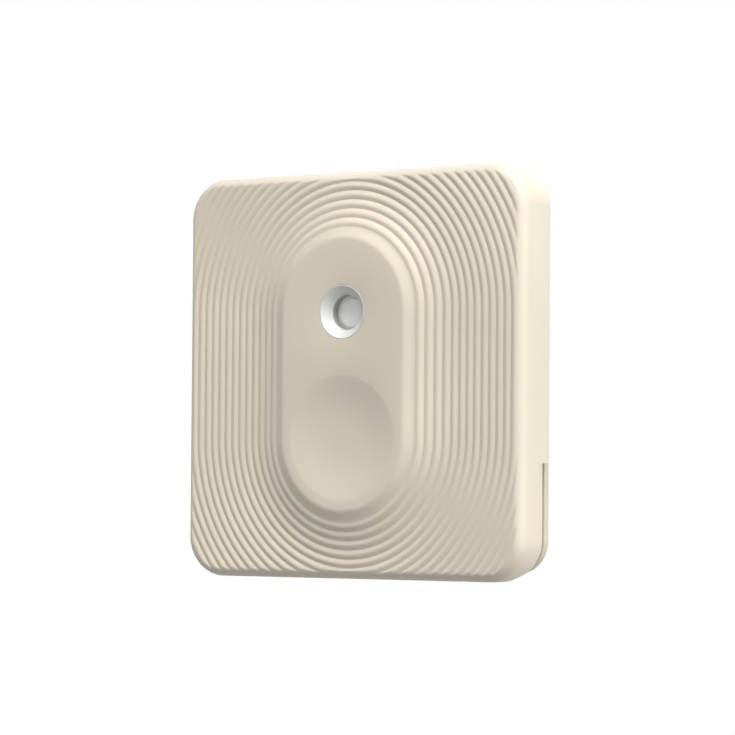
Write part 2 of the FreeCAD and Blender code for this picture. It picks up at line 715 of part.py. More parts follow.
PIECES = [
    front_housing, port_bezel, control_button, switch_body, switch_plunger,
    circuit_board, humidity_sensor, sensor_gasket, status_led, radio_chip,
    crystal, shield_can, chip_antenna, board_passives, bulk_capacitor,
    inner_frame, frame_screws, negative_contact, positive_contact,
    cell_can, cell_cap, cell_gasket, cell_core,
    back_cover, cell_pad, adhesive_pad,
]

os.makedirs("parts", exist_ok=True)
for piece in PIECES:
    solid = piece()
    solid.exportStep("parts/" + piece.__name__ + ".step")
    print(piece.__name__, "solids", len(solid.Solids), "valid", solid.isValid(),
          "volume", round(solid.Volume, 2))
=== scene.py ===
"""Dresses the square wall sensor: ribbed shell, funnel, button, cover, cell, board and studio.

Shapes are worked out in millimetres and become metres when a mesh is made. Depth is the
distance in front of the wall, so depth = -Y. A loop is a closed row of (across, height)
points that runs anticlockwise as the front is seen.
"""
import math

import bmesh
import bpy
import numpy as np
from bpy.props import FloatProperty, FloatVectorProperty, PointerProperty
from mathutils import Matrix, Vector
from mathutils.geometry import delaunay_2d_cdt


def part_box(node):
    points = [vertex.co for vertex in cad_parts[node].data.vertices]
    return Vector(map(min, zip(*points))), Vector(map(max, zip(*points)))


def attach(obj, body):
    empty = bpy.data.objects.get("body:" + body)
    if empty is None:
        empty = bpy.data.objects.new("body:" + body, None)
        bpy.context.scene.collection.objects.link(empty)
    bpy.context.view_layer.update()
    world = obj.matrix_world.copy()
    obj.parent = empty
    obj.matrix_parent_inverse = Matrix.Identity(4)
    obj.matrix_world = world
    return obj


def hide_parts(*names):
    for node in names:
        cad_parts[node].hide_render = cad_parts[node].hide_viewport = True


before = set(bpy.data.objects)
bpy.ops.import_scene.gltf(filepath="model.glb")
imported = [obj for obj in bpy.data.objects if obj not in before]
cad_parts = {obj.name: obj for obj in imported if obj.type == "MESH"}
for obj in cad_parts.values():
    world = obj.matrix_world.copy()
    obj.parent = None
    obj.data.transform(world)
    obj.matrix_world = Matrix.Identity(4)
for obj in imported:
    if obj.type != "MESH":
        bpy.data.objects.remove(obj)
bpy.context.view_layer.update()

bl_info = {
    "name": "Ribbed wall sensor",
    "version": (1, 0, 0),
    "blender": (4, 5, 0),
    "location": "View3D > Sidebar > Sensor",
    "description": "Builds the visible pieces of a ribbed temperature and humidity sensor",
    "category": "Mesh",
}

MM = 0.001


def reach(node):
    """Lowest and highest corner of a construction node as (across, depth, height) in mm."""
    low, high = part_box(node)
    return ((low.x / MM, -high.y / MM, low.z / MM), (high.x / MM, -low.y / MM, high.z / MM))


LOW, HIGH = 0, 1
ACROSS, DEPTH = 0, 1


def limit(node, end, axis):
    """Where a construction node ends along one axis, in mm."""
    return round(reach(node)[end][axis], 4)


# Places read from the frame
CASE_HALF = limit("front_housing", HIGH, ACROSS)
CASE_RIM = limit("front_housing", LOW, DEPTH)
BOSS_TOP = limit("front_housing", HIGH, DEPTH)
COVER_BACK = limit("back_cover", LOW, DEPTH)
COVER_HALF = limit("back_cover", HIGH, ACROSS)
PAD_HALF = limit("adhesive_pad", HIGH, ACROSS)
PAD_T = limit("adhesive_pad", HIGH, DEPTH)
BOARD_FRONT = limit("circuit_board", HIGH, DEPTH)
CELL_R = limit("cell_can", HIGH, ACROSS)
CELL_BACK = limit("cell_can", LOW, DEPTH)
CELL_FRONT = limit("cell_cap", HIGH, DEPTH)
BUTTON_FACE = limit("control_button", HIGH, DEPTH)
BEZEL_BACK = limit("port_bezel", LOW, DEPTH)

# Shell
CORNER_R = 4.4              # plan radius of the case corners
SIDE_WALL = 1.5
CREST_CLEAR = 0.06          # the edge rounding starts this far in front of the rib crests
BOSS_HALF = 6.85            # half the straight length of the boss
BOSS_FLAT_R = 7.6
RIB_START_R = 9.07
FLARE_RIBS = 4              # wider ribs next to the boss
FLARE_PITCH = 1.0
RIB_WAVE = 0.5              # share of a sine wave in a rib's arc, which softens the grooves
BOSS_WALL = 1.2
CEILING = 5.9
POCKET_R = 7.0
DISH_Z = -6.84
DISH_FLAT_R = 3.0           # level middle of the dish
DISH_RIM = 0.03             # softness of the dish's rim
PORT_Z = 6.7
PORT_R = 2.95
PORT_EDGE = 0.06            # rounding of the hole's edge
BEZEL_PLAY = 0.02           # between the funnel and its hole
BEZEL_FLANGE_R = 3.9
BEZEL_FLANGE_T = 0.25
BEZEL_TUBE_R = 2.6
TUBE_PAINTED_SHADE = 0.55           # painted shade: how far the tube behind the funnel is darkened, set by the photo's crescent
PAINTED_SHADE_FADE = 0.12           # depth over which that painted shade sets in
BUTTON_FLANGE_T = 0.25
BUTTON_PAINTED_GLOW = 0.08          # painted light: a faint glow that lifts the disc, which the lamps leave darker than the photo's
RIM_EDGE = 0.15             # rounding of the rear rim, outside
RIM_INNER_EDGE = 0.1
END_BLEND = 0.05            # softness where the rib ends run out
ARC_STEPS = 12              # across one rib
ROUND_STEPS = 16            # along the edge rounding
LOOP_STEP = 0.2             # between points round the case
SPARSE_STEP = 1.4           # the same where the ribs run straight

# Posts, pins and seats inside the shell
POST_PLACE = 15.9
POST_R = 1.8
POST_TIP = 3.8
PILOT_R = 0.71
PILOT_END = 5.7
PIN_PLACE = 14.5
PIN_SPREAD = 5.0
PIN_R = 0.6
PIN_TIP = 4.6
SEAT_PLACE = 16.6
SEAT_SPREAD = 7.5
SEAT_R = 1.2

# Notch in the rear edge, round the lower +X corner
NOTCH_REACH = 12.5          # up the side and along the bottom, from the outside of the case
NOTCH_ROUND = 1.3
NOTCH_FRONT = 4.13
SCOOP_START = 3.97          # depth where the scoop leaves the side
SCOOP_END = 2.47            # depth where the wall is open
SCOOP_DROP = 0.32

# Back cover and its pads
COVER_CORNER = 3.7
COVER_STEP_AT = 0.95        # depth of the step in the cover's edge
COVER_STEP = 0.12
COVER_FRONT = 1.4
SPIGOT_INSET = 0.9
SPIGOT_T = 0.8
SPIGOT_FRONT = 2.6
POCKET_FLOOR = 1.2
CELL_POCKET_R = 10.6
RECESS_HALF = 15.5
RECESS_CORNER = 3.0
PAD_CORNER = 2.8
TONGUE_PLACE = 17.9
TONGUE_W = 5.0
TONGUE_T = 1.0
TONGUE_FRONT = 4.4
TONGUE_TIP = 0.7            # length of the tongue's narrowing tip
TONGUE_TAPER = 0.2          # how far the tip draws in on each side
TONGUE_END = 0.28           # the same where its flat end begins
EDGE_INSET = 0.7            # from the cover's side to where its flat faces begin
RECESS_LIP = 0.08
POCKET_LIP = 0.1
CELL_PAD_R = 7.0
CELL_PAD_FRONT = 1.38

# Cell
CAN_RIM = 4.3
CAN_MOUTH_R = 9.05
CAP_R = 8.8
SHEET = 0.25                # steel sheet of the can and the cap
CORE_R = 9.3

# Frame screws
SCREW_HEAD_R = 1.25
SCREW_HEAD_BACK = 2.2
SCREW_SEAT = 2.8
SCREW_R = 0.7
SCREW_END = 5.6
CROSS_LONG = 1.5
CROSS_WIDE = 0.35
CROSS_FLOOR = 2.5

# Small parts in two rows on the board
SMALL_PARTS = 5             # in a row
SMALL_LONG = 1.0
SMALL_WIDE = 0.5
SMALL_END = 0.25            # length of a metal end
SMALL_BODY = 0.7            # length of the body, which reaches into both ends

SMOOTH_ANGLE = math.radians(32)
MERGE = 2e-7                # metres


def place(across, depth, height):
    """Points in metres from places across, depths and heights in mm."""
    parts = np.broadcast_arrays(across, -np.asarray(depth, float), height)
    return np.stack(parts, axis=-1) * MM


def circle(count):
    """Unit directions round a circle, anticlockwise from the right."""
    angle = np.arange(count) * 2 * np.pi / count
    return np.stack([np.cos(angle), np.sin(angle)], axis=1)


def evenly(start, end, step):
    """Places from start up to, and not including, end, at most one step apart."""
    count = max(1, math.ceil(abs(end - start) / step))
    return start + (end - start) * np.arange(count) / count


def square_loop(half, corner, step, straight=0.0, sparse=None):
    """Points and outward directions round a square with round corners.

    Each side is a line and each corner a quarter circle. Places within `straight` of the
    middle of the two upright sides are `sparse` apart, because nothing changes there.
    """
    flat = half - corner
    angle = evenly(0, np.pi / 2, step / max(corner, step))
    points, normals = [], []
    for turn in range(4):
        ahead = np.array([[0, 1], [-1, 0], [0, -1], [1, 0]][turn], float)
        out = np.array([[1, 0], [0, 1], [-1, 0], [0, -1]][turn], float)
        along = evenly(-flat, flat, step)
        if sparse and turn % 2 == 0:
            along = np.concatenate([evenly(-flat, -straight, step),
                                    evenly(-straight, straight, sparse),
                                    evenly(straight, flat, step)])
        points.append(out * half + along[:, None] * ahead)
        normals.append(np.repeat(out[None], len(along), axis=0))
        arc = np.cos(angle)[:, None] * out + np.sin(angle)[:, None] * ahead
        points.append((out + ahead) * flat + arc * corner)
        normals.append(arc)
    return np.concatenate(points), np.concatenate(normals)


def pill_loop(radius, half_length, step):
    """Points round a shape with two straight sides and two half circles."""
    angle = evenly(0, np.pi, step / radius)
    end = np.stack([np.cos(angle), np.sin(angle)], axis=1) * radius + [0, half_length]
    side = evenly(half_length, -half_length, step)
    left = np.stack([np.full(len(side), -radius), side], axis=1)
    return np.concatenate([end, left, -end, -left])


def box_loop(across, height, width, tall, corner, steps=5):
    """Points and outward directions round an upright rectangle with round corners."""
    turn = np.linspace(0, np.pi / 2, steps)
    angle = np.concatenate([turn + quarter * np.pi / 2 for quarter in range(4)])
    normals = np.stack([np.cos(angle), np.sin(angle)], axis=1)
    signs = np.repeat([[1, 1], [-1, 1], [-1, -1], [1, -1]], steps, axis=0)
    reach_out = np.array([width, tall]) / 2 - corner
    return [across, height] + signs * reach_out + normals * corner, normals


def plus_loop(long_side, wide, across=0.0, height=0.0):
    """Points round a plus sign."""
    far, near = long_side / 2, wide / 2
    arm = np.array([[far, -near], [far, near], [near, near]])
    turned = [arm]
    for _ in range(3):
        arm = np.stack([-arm[:, 1], arm[:, 0]], axis=1)
        turned.append(arm)
    return np.concatenate(turned) + [across, height]


def soften(points, radii, steps=5):
    """A row of (offset, depth) corners with an arc of its own radius at each corner.

    The arc touches both runs of its corner, and its points are evenly spaced by angle.
    """
    points = [np.array(p, float) for p in points]
    made = [points[0][None]]
    for before, corner, after, radius in zip(points, points[1:], points[2:], radii):
        back = (before - corner) / np.linalg.norm(before - corner)
        on = (after - corner) / np.linalg.norm(after - corner)
        half = math.acos(np.clip(back @ on, -1, 1)) / 2
        if radius == 0 or half > 1.5:
            made.append(corner[None])
            continue
        centre = corner + (back + on) / np.linalg.norm(back + on) * radius / math.sin(half)
        start = corner + back * radius / math.tan(half) - centre
        end = corner + on * radius / math.tan(half) - centre
        sweep = np.linspace(0, 1, steps + 1)[:, None]
        wide = math.acos(np.clip(start @ end / radius ** 2, -1, 1))
        mixed = (np.sin((1 - sweep) * wide) * start + np.sin(sweep * wide) * end)
        made.append(centre + mixed / math.sin(wide))
    made.append(points[-1][None])
    return np.concatenate(made)


def carry(base, normals, profile):
    """A patch: a profile of (offset, depth) carried round a loop.

    Point (i, j) lies at base i plus its outward direction times offset j, at depth j.
    """
    base = np.broadcast_to(base, normals.shape)
    profile = np.asarray(profile, float)
    flat = base[:, None, :] + normals[:, None, :] * profile[None, :, 0, None]
    verts = place(flat[..., 0], profile[None, :, 1], flat[..., 1])
    return grid(verts, closed=True)


def lathe(profile, across=0.0, height=0.0, count=96):
    """A patch: a profile of (radius, depth) turned about the depth line through a place."""
    return carry(np.array([[across, height]]), circle(count), profile)


def grid(verts, closed=False):
    """A patch of triangles from an array of points indexed (row, column)."""
    rows, columns = verts.shape[:2]
    index = np.arange(rows * columns).reshape(rows, columns)
    if closed:
        index = np.concatenate([index, index[:1]])
    a, b = index[:-1, :-1].ravel(), index[1:, :-1].ravel()
    c, d = index[1:, 1:].ravel(), index[:-1, 1:].ravel()
    faces = np.concatenate([np.stack([a, b, c], 1), np.stack([a, c, d], 1)])
    return verts.reshape(-1, 3), faces


def inside(points, loop):
    """Which points lie in a loop: those to whose right an odd number of its edges pass."""
    start, end = loop, np.roll(loop, -1, axis=0)
    x, y = points[:, :1], points[:, 1:]
    spans = (start[:, 1] > y) != (end[:, 1] > y)
    rise = np.where(end[:, 1] == start[:, 1], 1, end[:, 1] - start[:, 1])
    cross = start[:, 0] + (y - start[:, 1]) * (end[:, 0] - start[:, 0]) / rise
    return (spans & (cross > x)).sum(axis=1) % 2 == 1


def web(depth, outer, *holes):
    """A patch: the flat face at one depth between an outer loop and the loops of its holes."""
    loops = [outer, *holes]
    starts = np.cumsum([0] + [len(loop) for loop in loops])
    edges = []
    for loop, start in zip(loops, starts):
        index = np.arange(len(loop))
        edges.append(np.stack([index, np.roll(index, -1)], axis=1) + start)
    points = [Vector(point) for point in np.concatenate(loops)]
    found = delaunay_2d_cdt(points, np.concatenate(edges).tolist(), [], 1, 1e-6)
    flat = np.array([tuple(point) for point in found[0]])
    faces = np.array(found[2])
    middles = flat[faces].mean(axis=1)
    keep = ~np.any([inside(middles, hole) for hole in holes], axis=0) if holes else slice(None)
    return place(flat[:, 0], depth, flat[:, 1]), faces[keep]


def block(across, height, width, tall, back, front, corner=0.1, edge=0.05):
    """Patches of a small block with round corners and edges."""
    base, normals = box_loop(across, height, width, tall, corner)
    profile = soften([(-corner * 0.9, back), (0, back), (0, front), (-corner * 0.9, front)],
                     (edge, edge), 3)
    inner = base - normals * corner * 0.9
    return [carry(base, normals, profile), web(back, inner), web(front, inner)]


def prism(loop, back, front):
    """Patches of a straight bar with a given outline."""
    side = place(loop[:, :1], np.array([[back, front]]), loop[:, 1:])
    return [grid(side, closed=True), web(back, loop), web(front, loop)]


def placed(name, data):
    """A new object in the scene."""
    obj = bpy.data.objects.new(name, data)
    bpy.context.scene.collection.objects.link(obj)
    return obj


def mesh_of(name, patches):
    """A mesh from patches, with the points they share merged and faces pointing outwards."""
    verts, faces, start = [], [], 0
    for patch_verts, patch_faces in patches:
        verts.append(patch_verts)
        faces.append(patch_faces + start)
        start += len(patch_verts)
    faces = np.concatenate(faces)
    mesh = bpy.data.meshes.new(name)
    mesh.vertices.add(start)
    mesh.vertices.foreach_set("co", np.concatenate(verts).astype(np.float32).ravel())
    mesh.loops.add(faces.size)
    mesh.loops.foreach_set("vertex_index", faces.astype(np.int32).ravel())
    mesh.polygons.add(len(faces))
    mesh.polygons.foreach_set("loop_start", np.arange(0, faces.size, 3, dtype=np.int32))
    mesh.update(calc_edges=True)
    work = bmesh.new()
    work.from_mesh(mesh)
    bmesh.ops.remove_doubles(work, verts=work.verts, dist=MERGE)
    bmesh.ops.dissolve_degenerate(work, edges=work.edges, dist=MERGE)
    bmesh.ops.recalc_face_normals(work, faces=work.faces)
    work.to_mesh(mesh)
    work.free()
    return mesh


def piece(name, patches, material, body, nodes=()):
    """A named object from patches, dressed, riding on a body and standing for its nodes."""
    return settle(placed(name, mesh_of(name, patches)), material, body, nodes)


def settle(obj, material, body, nodes=()):
    """Smooth shading with sharp edges by angle, then material, body and nodes."""
    obj.data.shade_smooth()
    obj.data.set_sharp_from_angle(angle=SMOOTH_ANGLE)
    obj.data.materials.clear()
    obj.data.materials.append(material)
    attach(obj, body)
    if nodes:
        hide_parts(*nodes)
    return obj


def rounded_copy(name, node, made, body, width=0.05):
    """A merged copy of a construction node with its edges rounded, standing for that node."""
    obj = placed(name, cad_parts[node].data.copy())
    work = bmesh.new()
    work.from_mesh(obj.data)
    bmesh.ops.remove_doubles(work, verts=work.verts, dist=MERGE)
    bmesh.ops.dissolve_limit(work, angle_limit=math.radians(1), verts=work.verts,
                             edges=work.edges)
    work.to_mesh(obj.data)
    work.free()
    settle(obj, made, body, [node])
    obj.data.set_sharp_from_angle(angle=math.pi)
    bevel = obj.modifiers.new("edges", "BEVEL")
    bevel.width = width * MM
    bevel.segments = 2
    bevel.limit_method = "ANGLE"
    bevel.angle_limit = math.radians(40)
    bevel.use_clamp_overlap = False
    level = obj.modifiers.new("level", "WEIGHTED_NORMAL")
    level.weight = 100
    return obj


def cut_away(obj, patches):
    """Takes the closed shape made by the patches off an object, for good."""
    tool = placed("cutter", mesh_of("cutter", patches))
    modifier = obj.modifiers.new("cut", "BOOLEAN")
    modifier.operation = "DIFFERENCE"
    modifier.solver = "EXACT"
    modifier.object = tool
    graph = bpy.context.evaluated_depsgraph_get()
    made = bpy.data.meshes.new_from_object(obj.evaluated_get(graph))
    old = obj.data
    obj.modifiers.clear()
    obj.data = made
    bpy.data.meshes.remove(old)
    bpy.data.objects.remove(tool)
    return obj


class Relief:
    """The ribbed front as a rise over the groove floor, by distance from the boss's middle line.

    A flat boss, an arc that rolls off it, a straight slope that goes on from the arc to the
    first groove, then the ribs. The grooves stand on a floor that falls with the square of
    the distance left to where it is level. A rib is a mix of a parabola and a sine wave over
    the line between its two grooves.
    """

    def __init__(self, shell):
        self.depth = shell.rib_depth / MM
        self.boss_rise = shell.boss_rise / MM
        self.flare_rise = shell.flare_rise / MM
        self.shoulder_r = shell.shoulder_round / MM
        run = RIB_START_R - BOSS_FLAT_R
        below = self.shoulder_r - (self.boss_rise - self.flare_rise)
        self.turn = math.atan2(run, below) - math.acos(self.shoulder_r / math.hypot(run, below))
        pitch = shell.rib_pitch / MM
        last = RIB_START_R + FLARE_RIBS * FLARE_PITCH
        self.flare_end = last + pitch
        self.grooves = np.concatenate([np.arange(RIB_START_R, last - 0.01, FLARE_PITCH),
                                       last + pitch * np.arange(20)])

    def flare(self, radius):
        """Rise of the groove floor."""
        left = np.clip(self.flare_end - radius, 0, None) / (self.flare_end - RIB_START_R)
        return self.flare_rise * left ** 2

    def rise(self, radius):
        """Rise at distances from the middle line."""
        radius = np.asarray(radius, float)
        arc_run = self.shoulder_r * math.sin(self.turn)
        away = np.clip(radius - BOSS_FLAT_R, 0, arc_run)
        further = np.clip(radius - BOSS_FLAT_R - arc_run, 0, None)
        rolled = (self.boss_rise - self.shoulder_r + np.sqrt(self.shoulder_r ** 2 - away ** 2)
                  - further * math.tan(self.turn))
        rib = np.clip(np.searchsorted(self.grooves, radius + 1e-9, "right") - 1, 0, None)
        near, far = self.grooves[rib], self.grooves[rib + 1]
        share = np.clip((radius - near) / (far - near), 0, 1)
        line = (1 - share) * self.flare(near) + share * self.flare(far)
        wave = (1 - np.cos(2 * np.pi * share)) / 2
        ribbed = line + self.depth * ((1 - RIB_WAVE) * 4 * share * (1 - share) + RIB_WAVE * wave)
        return np.where(radius < RIB_START_R, rolled, ribbed)

    def stations(self, furthest):
        """Distances at which rings of points lie: along the arc, then across each rib."""
        shoulder = BOSS_FLAT_R + self.shoulder_r * np.sin(np.linspace(0, self.turn, 10))
        slope = np.linspace(shoulder[-1], RIB_START_R, 4)[1:]
        grooves = self.grooves[:np.searchsorted(self.grooves, furthest) + 1]
        share = np.arange(1, ARC_STEPS + 1) / ARC_STEPS
        across = grooves[:-1, None] + np.diff(grooves)[:, None] * share
        return np.concatenate([shoulder, slope, across.ravel()])


def soft_least(first, second, blend):
    """The lesser of two heights, with the crease between them rounded over `blend`."""
    near = np.clip(blend - np.abs(first - second), 0, None) / np.maximum(blend, 1e-9)
    return np.minimum(first, second) - near ** 2 * blend / 4


def ribbed_skin(shell):
    """The ribs and the rounded front edge: two patches, and the loops at their ends.

    First patch: rays leave the boss's middle line squarely and end on a square that lies
    one edge rounding inside the case, and rings of points lie at fixed distances along
    them, so each ring keeps one height. Second patch: an arc carried round that square,
    lowered wherever a groove runs out over it.
    """
    relief = Relief(shell)
    floor = BOSS_TOP - relief.boss_rise
    edge_r = shell.edge_round / MM
    base, normals = square_loop(CASE_HALF - edge_r, CORNER_R - edge_r, LOOP_STEP,
                                BOSS_HALF, SPARSE_STEP)
    root = np.stack([np.zeros(len(base)), np.clip(base[:, 1], -BOSS_HALF, BOSS_HALF)], axis=1)
    span = np.linalg.norm(base - root, axis=1)
    ray = (base - root) / span[:, None]
    stations = relief.stations(span.max())
    distance = np.minimum(stations[None, :], span[:, None])
    flat = root[:, None, :] + ray[:, None, :] * distance[..., None]
    depth = floor + relief.rise(distance)
    ribs = grid(place(flat[..., 0], depth, flat[..., 1]), closed=True)

    turn = np.linspace(0, np.pi / 2, ROUND_STEPS + 1)
    offset = edge_r * np.sin(turn)
    crest = floor + relief.depth + CREST_CLEAR
    arc = crest - edge_r + edge_r * np.cos(turn)
    flat = base[:, None, :] + normals[:, None, :] * offset[None, :, None]
    middle = np.stack([np.zeros_like(flat[..., 1]),
                       np.clip(flat[..., 1], -BOSS_HALF, BOSS_HALF)], axis=-1)
    rise = floor + relief.rise(np.linalg.norm(flat - middle, axis=-1))
    blend = END_BLEND * np.clip(offset / (edge_r / 4), 0, 1)
    depth = soft_least(rise, np.broadcast_to(arc, rise.shape), blend)
    edge = grid(place(flat[..., 0], depth, flat[..., 1]), closed=True)
    boss_loop = root + ray * BOSS_FLAT_R
    return [ribs, edge], boss_loop, base, normals, arc[-1]


def dish_profile(radius, depth):
    """Profile of the dish as (radius, depth): a level middle, an even slope and a soft rim."""
    rim = radius + DISH_RIM / 2 / (depth / (radius - DISH_FLAT_R))
    out = np.concatenate([np.linspace(0, radius - 0.4, 28), np.linspace(radius - 0.36, rim, 12)])
    slope = depth / (radius - DISH_FLAT_R)
    cone = (radius - out) * slope
    bottom = soft_least(cone, np.full_like(out, depth), depth * 0.5)
    sunk = -soft_least(-bottom, np.zeros_like(out), DISH_RIM)
    sunk[-1] = 0
    return np.stack([out, BOSS_TOP - sunk], axis=1)


def housing_inside():
    """Patches of the shell's ceiling with its boss pocket, posts, pins and seats."""
    patches, holes = [], []
    post = soften([(POST_R, CEILING), (POST_R, POST_TIP), (PILOT_R, POST_TIP),
                   (PILOT_R, PILOT_END), (0, PILOT_END)], (0.08, 0.05, 0), 3)
    pin = soften([(PIN_R, CEILING), (PIN_R, PIN_TIP), (0, PIN_TIP)], (0.2,), 4)
    seat = soften([(SEAT_R, CEILING), (SEAT_R, BOARD_FRONT), (0, BOARD_FRONT)], (0.05,), 3)
    stands = [(post, x * POST_PLACE, z * POST_PLACE) for x in (-1, 1) for z in (-1, 1)]
    stands += [(pin, side * PIN_PLACE, side * PIN_SPREAD) for side in (-1, 1)]
    for side in (-1, 1):
        for along in (-SEAT_SPREAD, SEAT_SPREAD):
            stands.append((seat, along, side * SEAT_PLACE))
            stands.append((seat, side * SEAT_PLACE, along))
    for profile, across, height in stands:
        patches.append(lathe(profile, across, height, 48))
        holes.append(circle(48) * profile[0, 0] + [across, height])
    return patches, holes


def notch_cutter():
    """The notch's cutter: a six-sided section carried round the lower corner of the case.

    The front of the section follows a quarter circle at each end of the notch. Behind
    the scoop's end the section runs through the whole wall.
    """
    flat = CASE_HALF - CORNER_R
    turn = np.linspace(0, np.pi / 2, 13)
    run = NOTCH_ROUND * (1 - np.cos(turn))
    straight = NOTCH_REACH - CORNER_R
    along = np.concatenate([run, evenly(NOTCH_ROUND + 0.5, straight, 0.5)])
    bend = np.linspace(0, np.pi / 2, 25)
    down = np.stack([np.full(len(along), CASE_HALF), NOTCH_REACH - CASE_HALF - along], axis=1)
    corner = np.stack([np.cos(bend), -np.sin(bend)], axis=1)
    base = np.concatenate([down, corner * CORNER_R + [flat, -flat], -down[::-1, ::-1]])
    normals = np.concatenate([np.tile([1.0, 0], (len(down), 1)), corner,
                              np.tile([0, -1.0], (len(down), 1))])
    depth = np.full(len(base), NOTCH_FRONT)
    depth[:13] += NOTCH_ROUND * (np.sin(turn) - 1)
    depth[-13:] = depth[12::-1]
    slope = SCOOP_DROP / (SCOOP_START - SCOOP_END)
    ones = np.ones(len(base))
    offset = np.stack([ones, -(SIDE_WALL + 1) * ones, -(SIDE_WALL + 1) * ones,
                       -SCOOP_DROP * ones, slope * (depth - SCOOP_START), ones], axis=1)
    level = np.stack([(CASE_RIM - 1) * ones, (CASE_RIM - 1) * ones, SCOOP_END * ones,
                      SCOOP_END * ones, depth, depth], axis=1)
    flat = base[:, None, :] + normals[:, None, :] * offset[..., None]
    rows = place(flat[..., 0], level, flat[..., 1])
    side = grid(np.concatenate([rows, rows[:, :1]], axis=1))
    fan = np.arange(1, 5)
    fan = np.stack([np.zeros(4, int), fan, fan + 1], axis=1)
    return [side, (rows[0], fan), (rows[-1], fan)]


def add_node(tree, kind, inputs=(), **settings):
    """A new shader node: its settings, then each input's value or the socket that feeds it."""
    made = tree.nodes.new("ShaderNode" + kind)
    for key, value in settings.items():
        setattr(made, key, value)
    for key, value in dict(inputs).items():
        if isinstance(value, bpy.types.NodeSocket):
            tree.links.new(value, made.inputs[key])
        else:
            made.inputs[key].default_value = value
    return made


def texture_group(name, inputs):
    """An empty node group with its sockets, and its input and output nodes."""
    group = bpy.data.node_groups.new(name, "ShaderNodeTree")
    for label, kind, default in inputs:
        group.interface.new_socket(name=label, in_out="INPUT",
                                   socket_type="NodeSocket" + kind).default_value = default
    for label, kind in (("Colour", "Color"), ("Roughness", "Float"), ("Height", "Float")):
        group.interface.new_socket(name=label, in_out="OUTPUT", socket_type="NodeSocket" + kind)
    return group, group.nodes.new("NodeGroupInput"), group.nodes.new("NodeGroupOutput")


def end_group(group, given, out, blend, unevenness, height):
    """Mix a group's two colours, spread its roughness and pass its height on."""
    mix = add_node(group, "Mix", {"Factor": blend, "A": given.outputs["Colour"],
                                  "B": given.outputs["Shade"]}, data_type="RGBA")
    spread = add_node(group, "Math", {
        0: unevenness, 1: given.outputs["Roughness spread"], 2: given.outputs["Roughness"],
    }, operation="MULTIPLY_ADD")
    for label, made in (("Colour", mix.outputs["Result"]),
                        ("Roughness", spread.outputs["Value"]), ("Height", height)):
        group.links.new(made, out.inputs[label])


def moulded_group():
    """Node group: the fine even grain and faint shade drift of moulded plastic."""
    group, given, out = texture_group("moulded", [
        ("Colour", "Color", (0.8, 0.8, 0.8, 1)),
        ("Shade", "Color", (0.7, 0.7, 0.7, 1)),
        ("Grain per metre", "Float", 9000.0),
        ("Drift per metre", "Float", 60.0),
        ("Roughness", "Float", 0.5),
        ("Roughness spread", "Float", 0.06)])
    where = add_node(group, "TexCoord").outputs["Object"]
    grain, drift = [add_node(group, "TexNoise", {
        "Vector": where, "Scale": given.outputs[label + " per metre"], "Detail": detail,
    }).outputs["Fac"] for label, detail in (("Grain", 2.0), ("Drift", 1.0))]
    amount = add_node(group, "MapRange", {"Value": drift, "From Min": 0.3, "From Max": 0.7})
    centred = add_node(group, "Math", {0: grain, 1: 0.5}, operation="SUBTRACT")
    end_group(group, given, out, amount.outputs["Result"], centred.outputs["Value"], grain)


def brushed_group():
    """Node group: fine streaks that run along one direction, for sheet metal."""
    group, given, out = texture_group("brushed", [
        ("Colour", "Color", (0.6, 0.6, 0.6, 1)),
        ("Shade", "Color", (0.4, 0.4, 0.4, 1)),
        ("Stretch", "Vector", (300.0, 300.0, 9000.0)),
        ("Roughness", "Float", 0.3),
        ("Roughness spread", "Float", 0.15)])
    stretched = add_node(group, "VectorMath", {
        0: add_node(group, "TexCoord").outputs["Object"], 1: given.outputs["Stretch"],
    }, operation="MULTIPLY")
    streaks = add_node(group, "TexNoise", {
        "Vector": stretched.outputs["Vector"], "Scale": 1.0, "Detail": 4.0}).outputs["Fac"]
    end_group(group, given, out, streaks, streaks, streaks)


def material(name, group_name, values, bump=0.0, **shader_values):
    """A material: a texture group that feeds one Principled shader, with a bump."""
    if name in bpy.data.materials:
        return bpy.data.materials[name]
    made = bpy.data.materials.new(name)
    made.use_nodes = True
    tree = made.node_tree
    shader = tree.nodes["Principled BSDF"]
    for label, value in shader_values.items():
        shader.inputs[label.replace("_", " ")].default_value = value
    texture = add_node(tree, "Group", values, node_tree=bpy.data.node_groups[group_name])
    tree.links.new(texture.outputs["Colour"], shader.inputs["Base Color"])
    tree.links.new(texture.outputs["Roughness"], shader.inputs["Roughness"])
    if bump:
        raised = add_node(tree, "Bump", {"Strength": 1.0, "Distance": bump * MM,
                                         "Height": texture.outputs["Height"]})
        tree.links.new(raised.outputs["Normal"], shader.inputs["Normal"])
    return made


def board_laminate():
    """Green solder mask with the faint raised lines of the tracks under it."""
    made = material("solder_mask", "moulded", {
        "Colour": (0.012, 0.085, 0.04, 1), "Shade": (0.009, 0.06, 0.03, 1),
        "Roughness": 0.32, "Grain per metre": 5000.0})
    tree = made.node_tree
    turned = add_node(tree, "Mapping", {
        "Vector": add_node(tree, "TexCoord").outputs["Object"],
        "Rotation": (math.pi / 2, 0, 0), "Scale": (420, 420, 420)})
    tracks = add_node(tree, "TexBrick", {
        "Vector": turned.outputs["Vector"], "Scale": 1.0, "Mortar Size": 0.05,
        "Mortar Smooth": 0.2, "Color1": (0.012, 0.085, 0.04, 1),
        "Color2": (0.010, 0.072, 0.035, 1), "Mortar": (0.03, 0.16, 0.075, 1)})
    raised = add_node(tree, "Bump", {"Distance": 0.02 * MM, "Height": tracks.outputs["Fac"]})
    shader = tree.nodes["Principled BSDF"]
    tree.links.new(tracks.outputs["Color"], shader.inputs["Base Color"])
    tree.links.new(raised.outputs["Normal"], shader.inputs["Normal"])
    return made


def opaque(tone):
    """A colour property as four numbers."""
    return (*tone, 1.0)


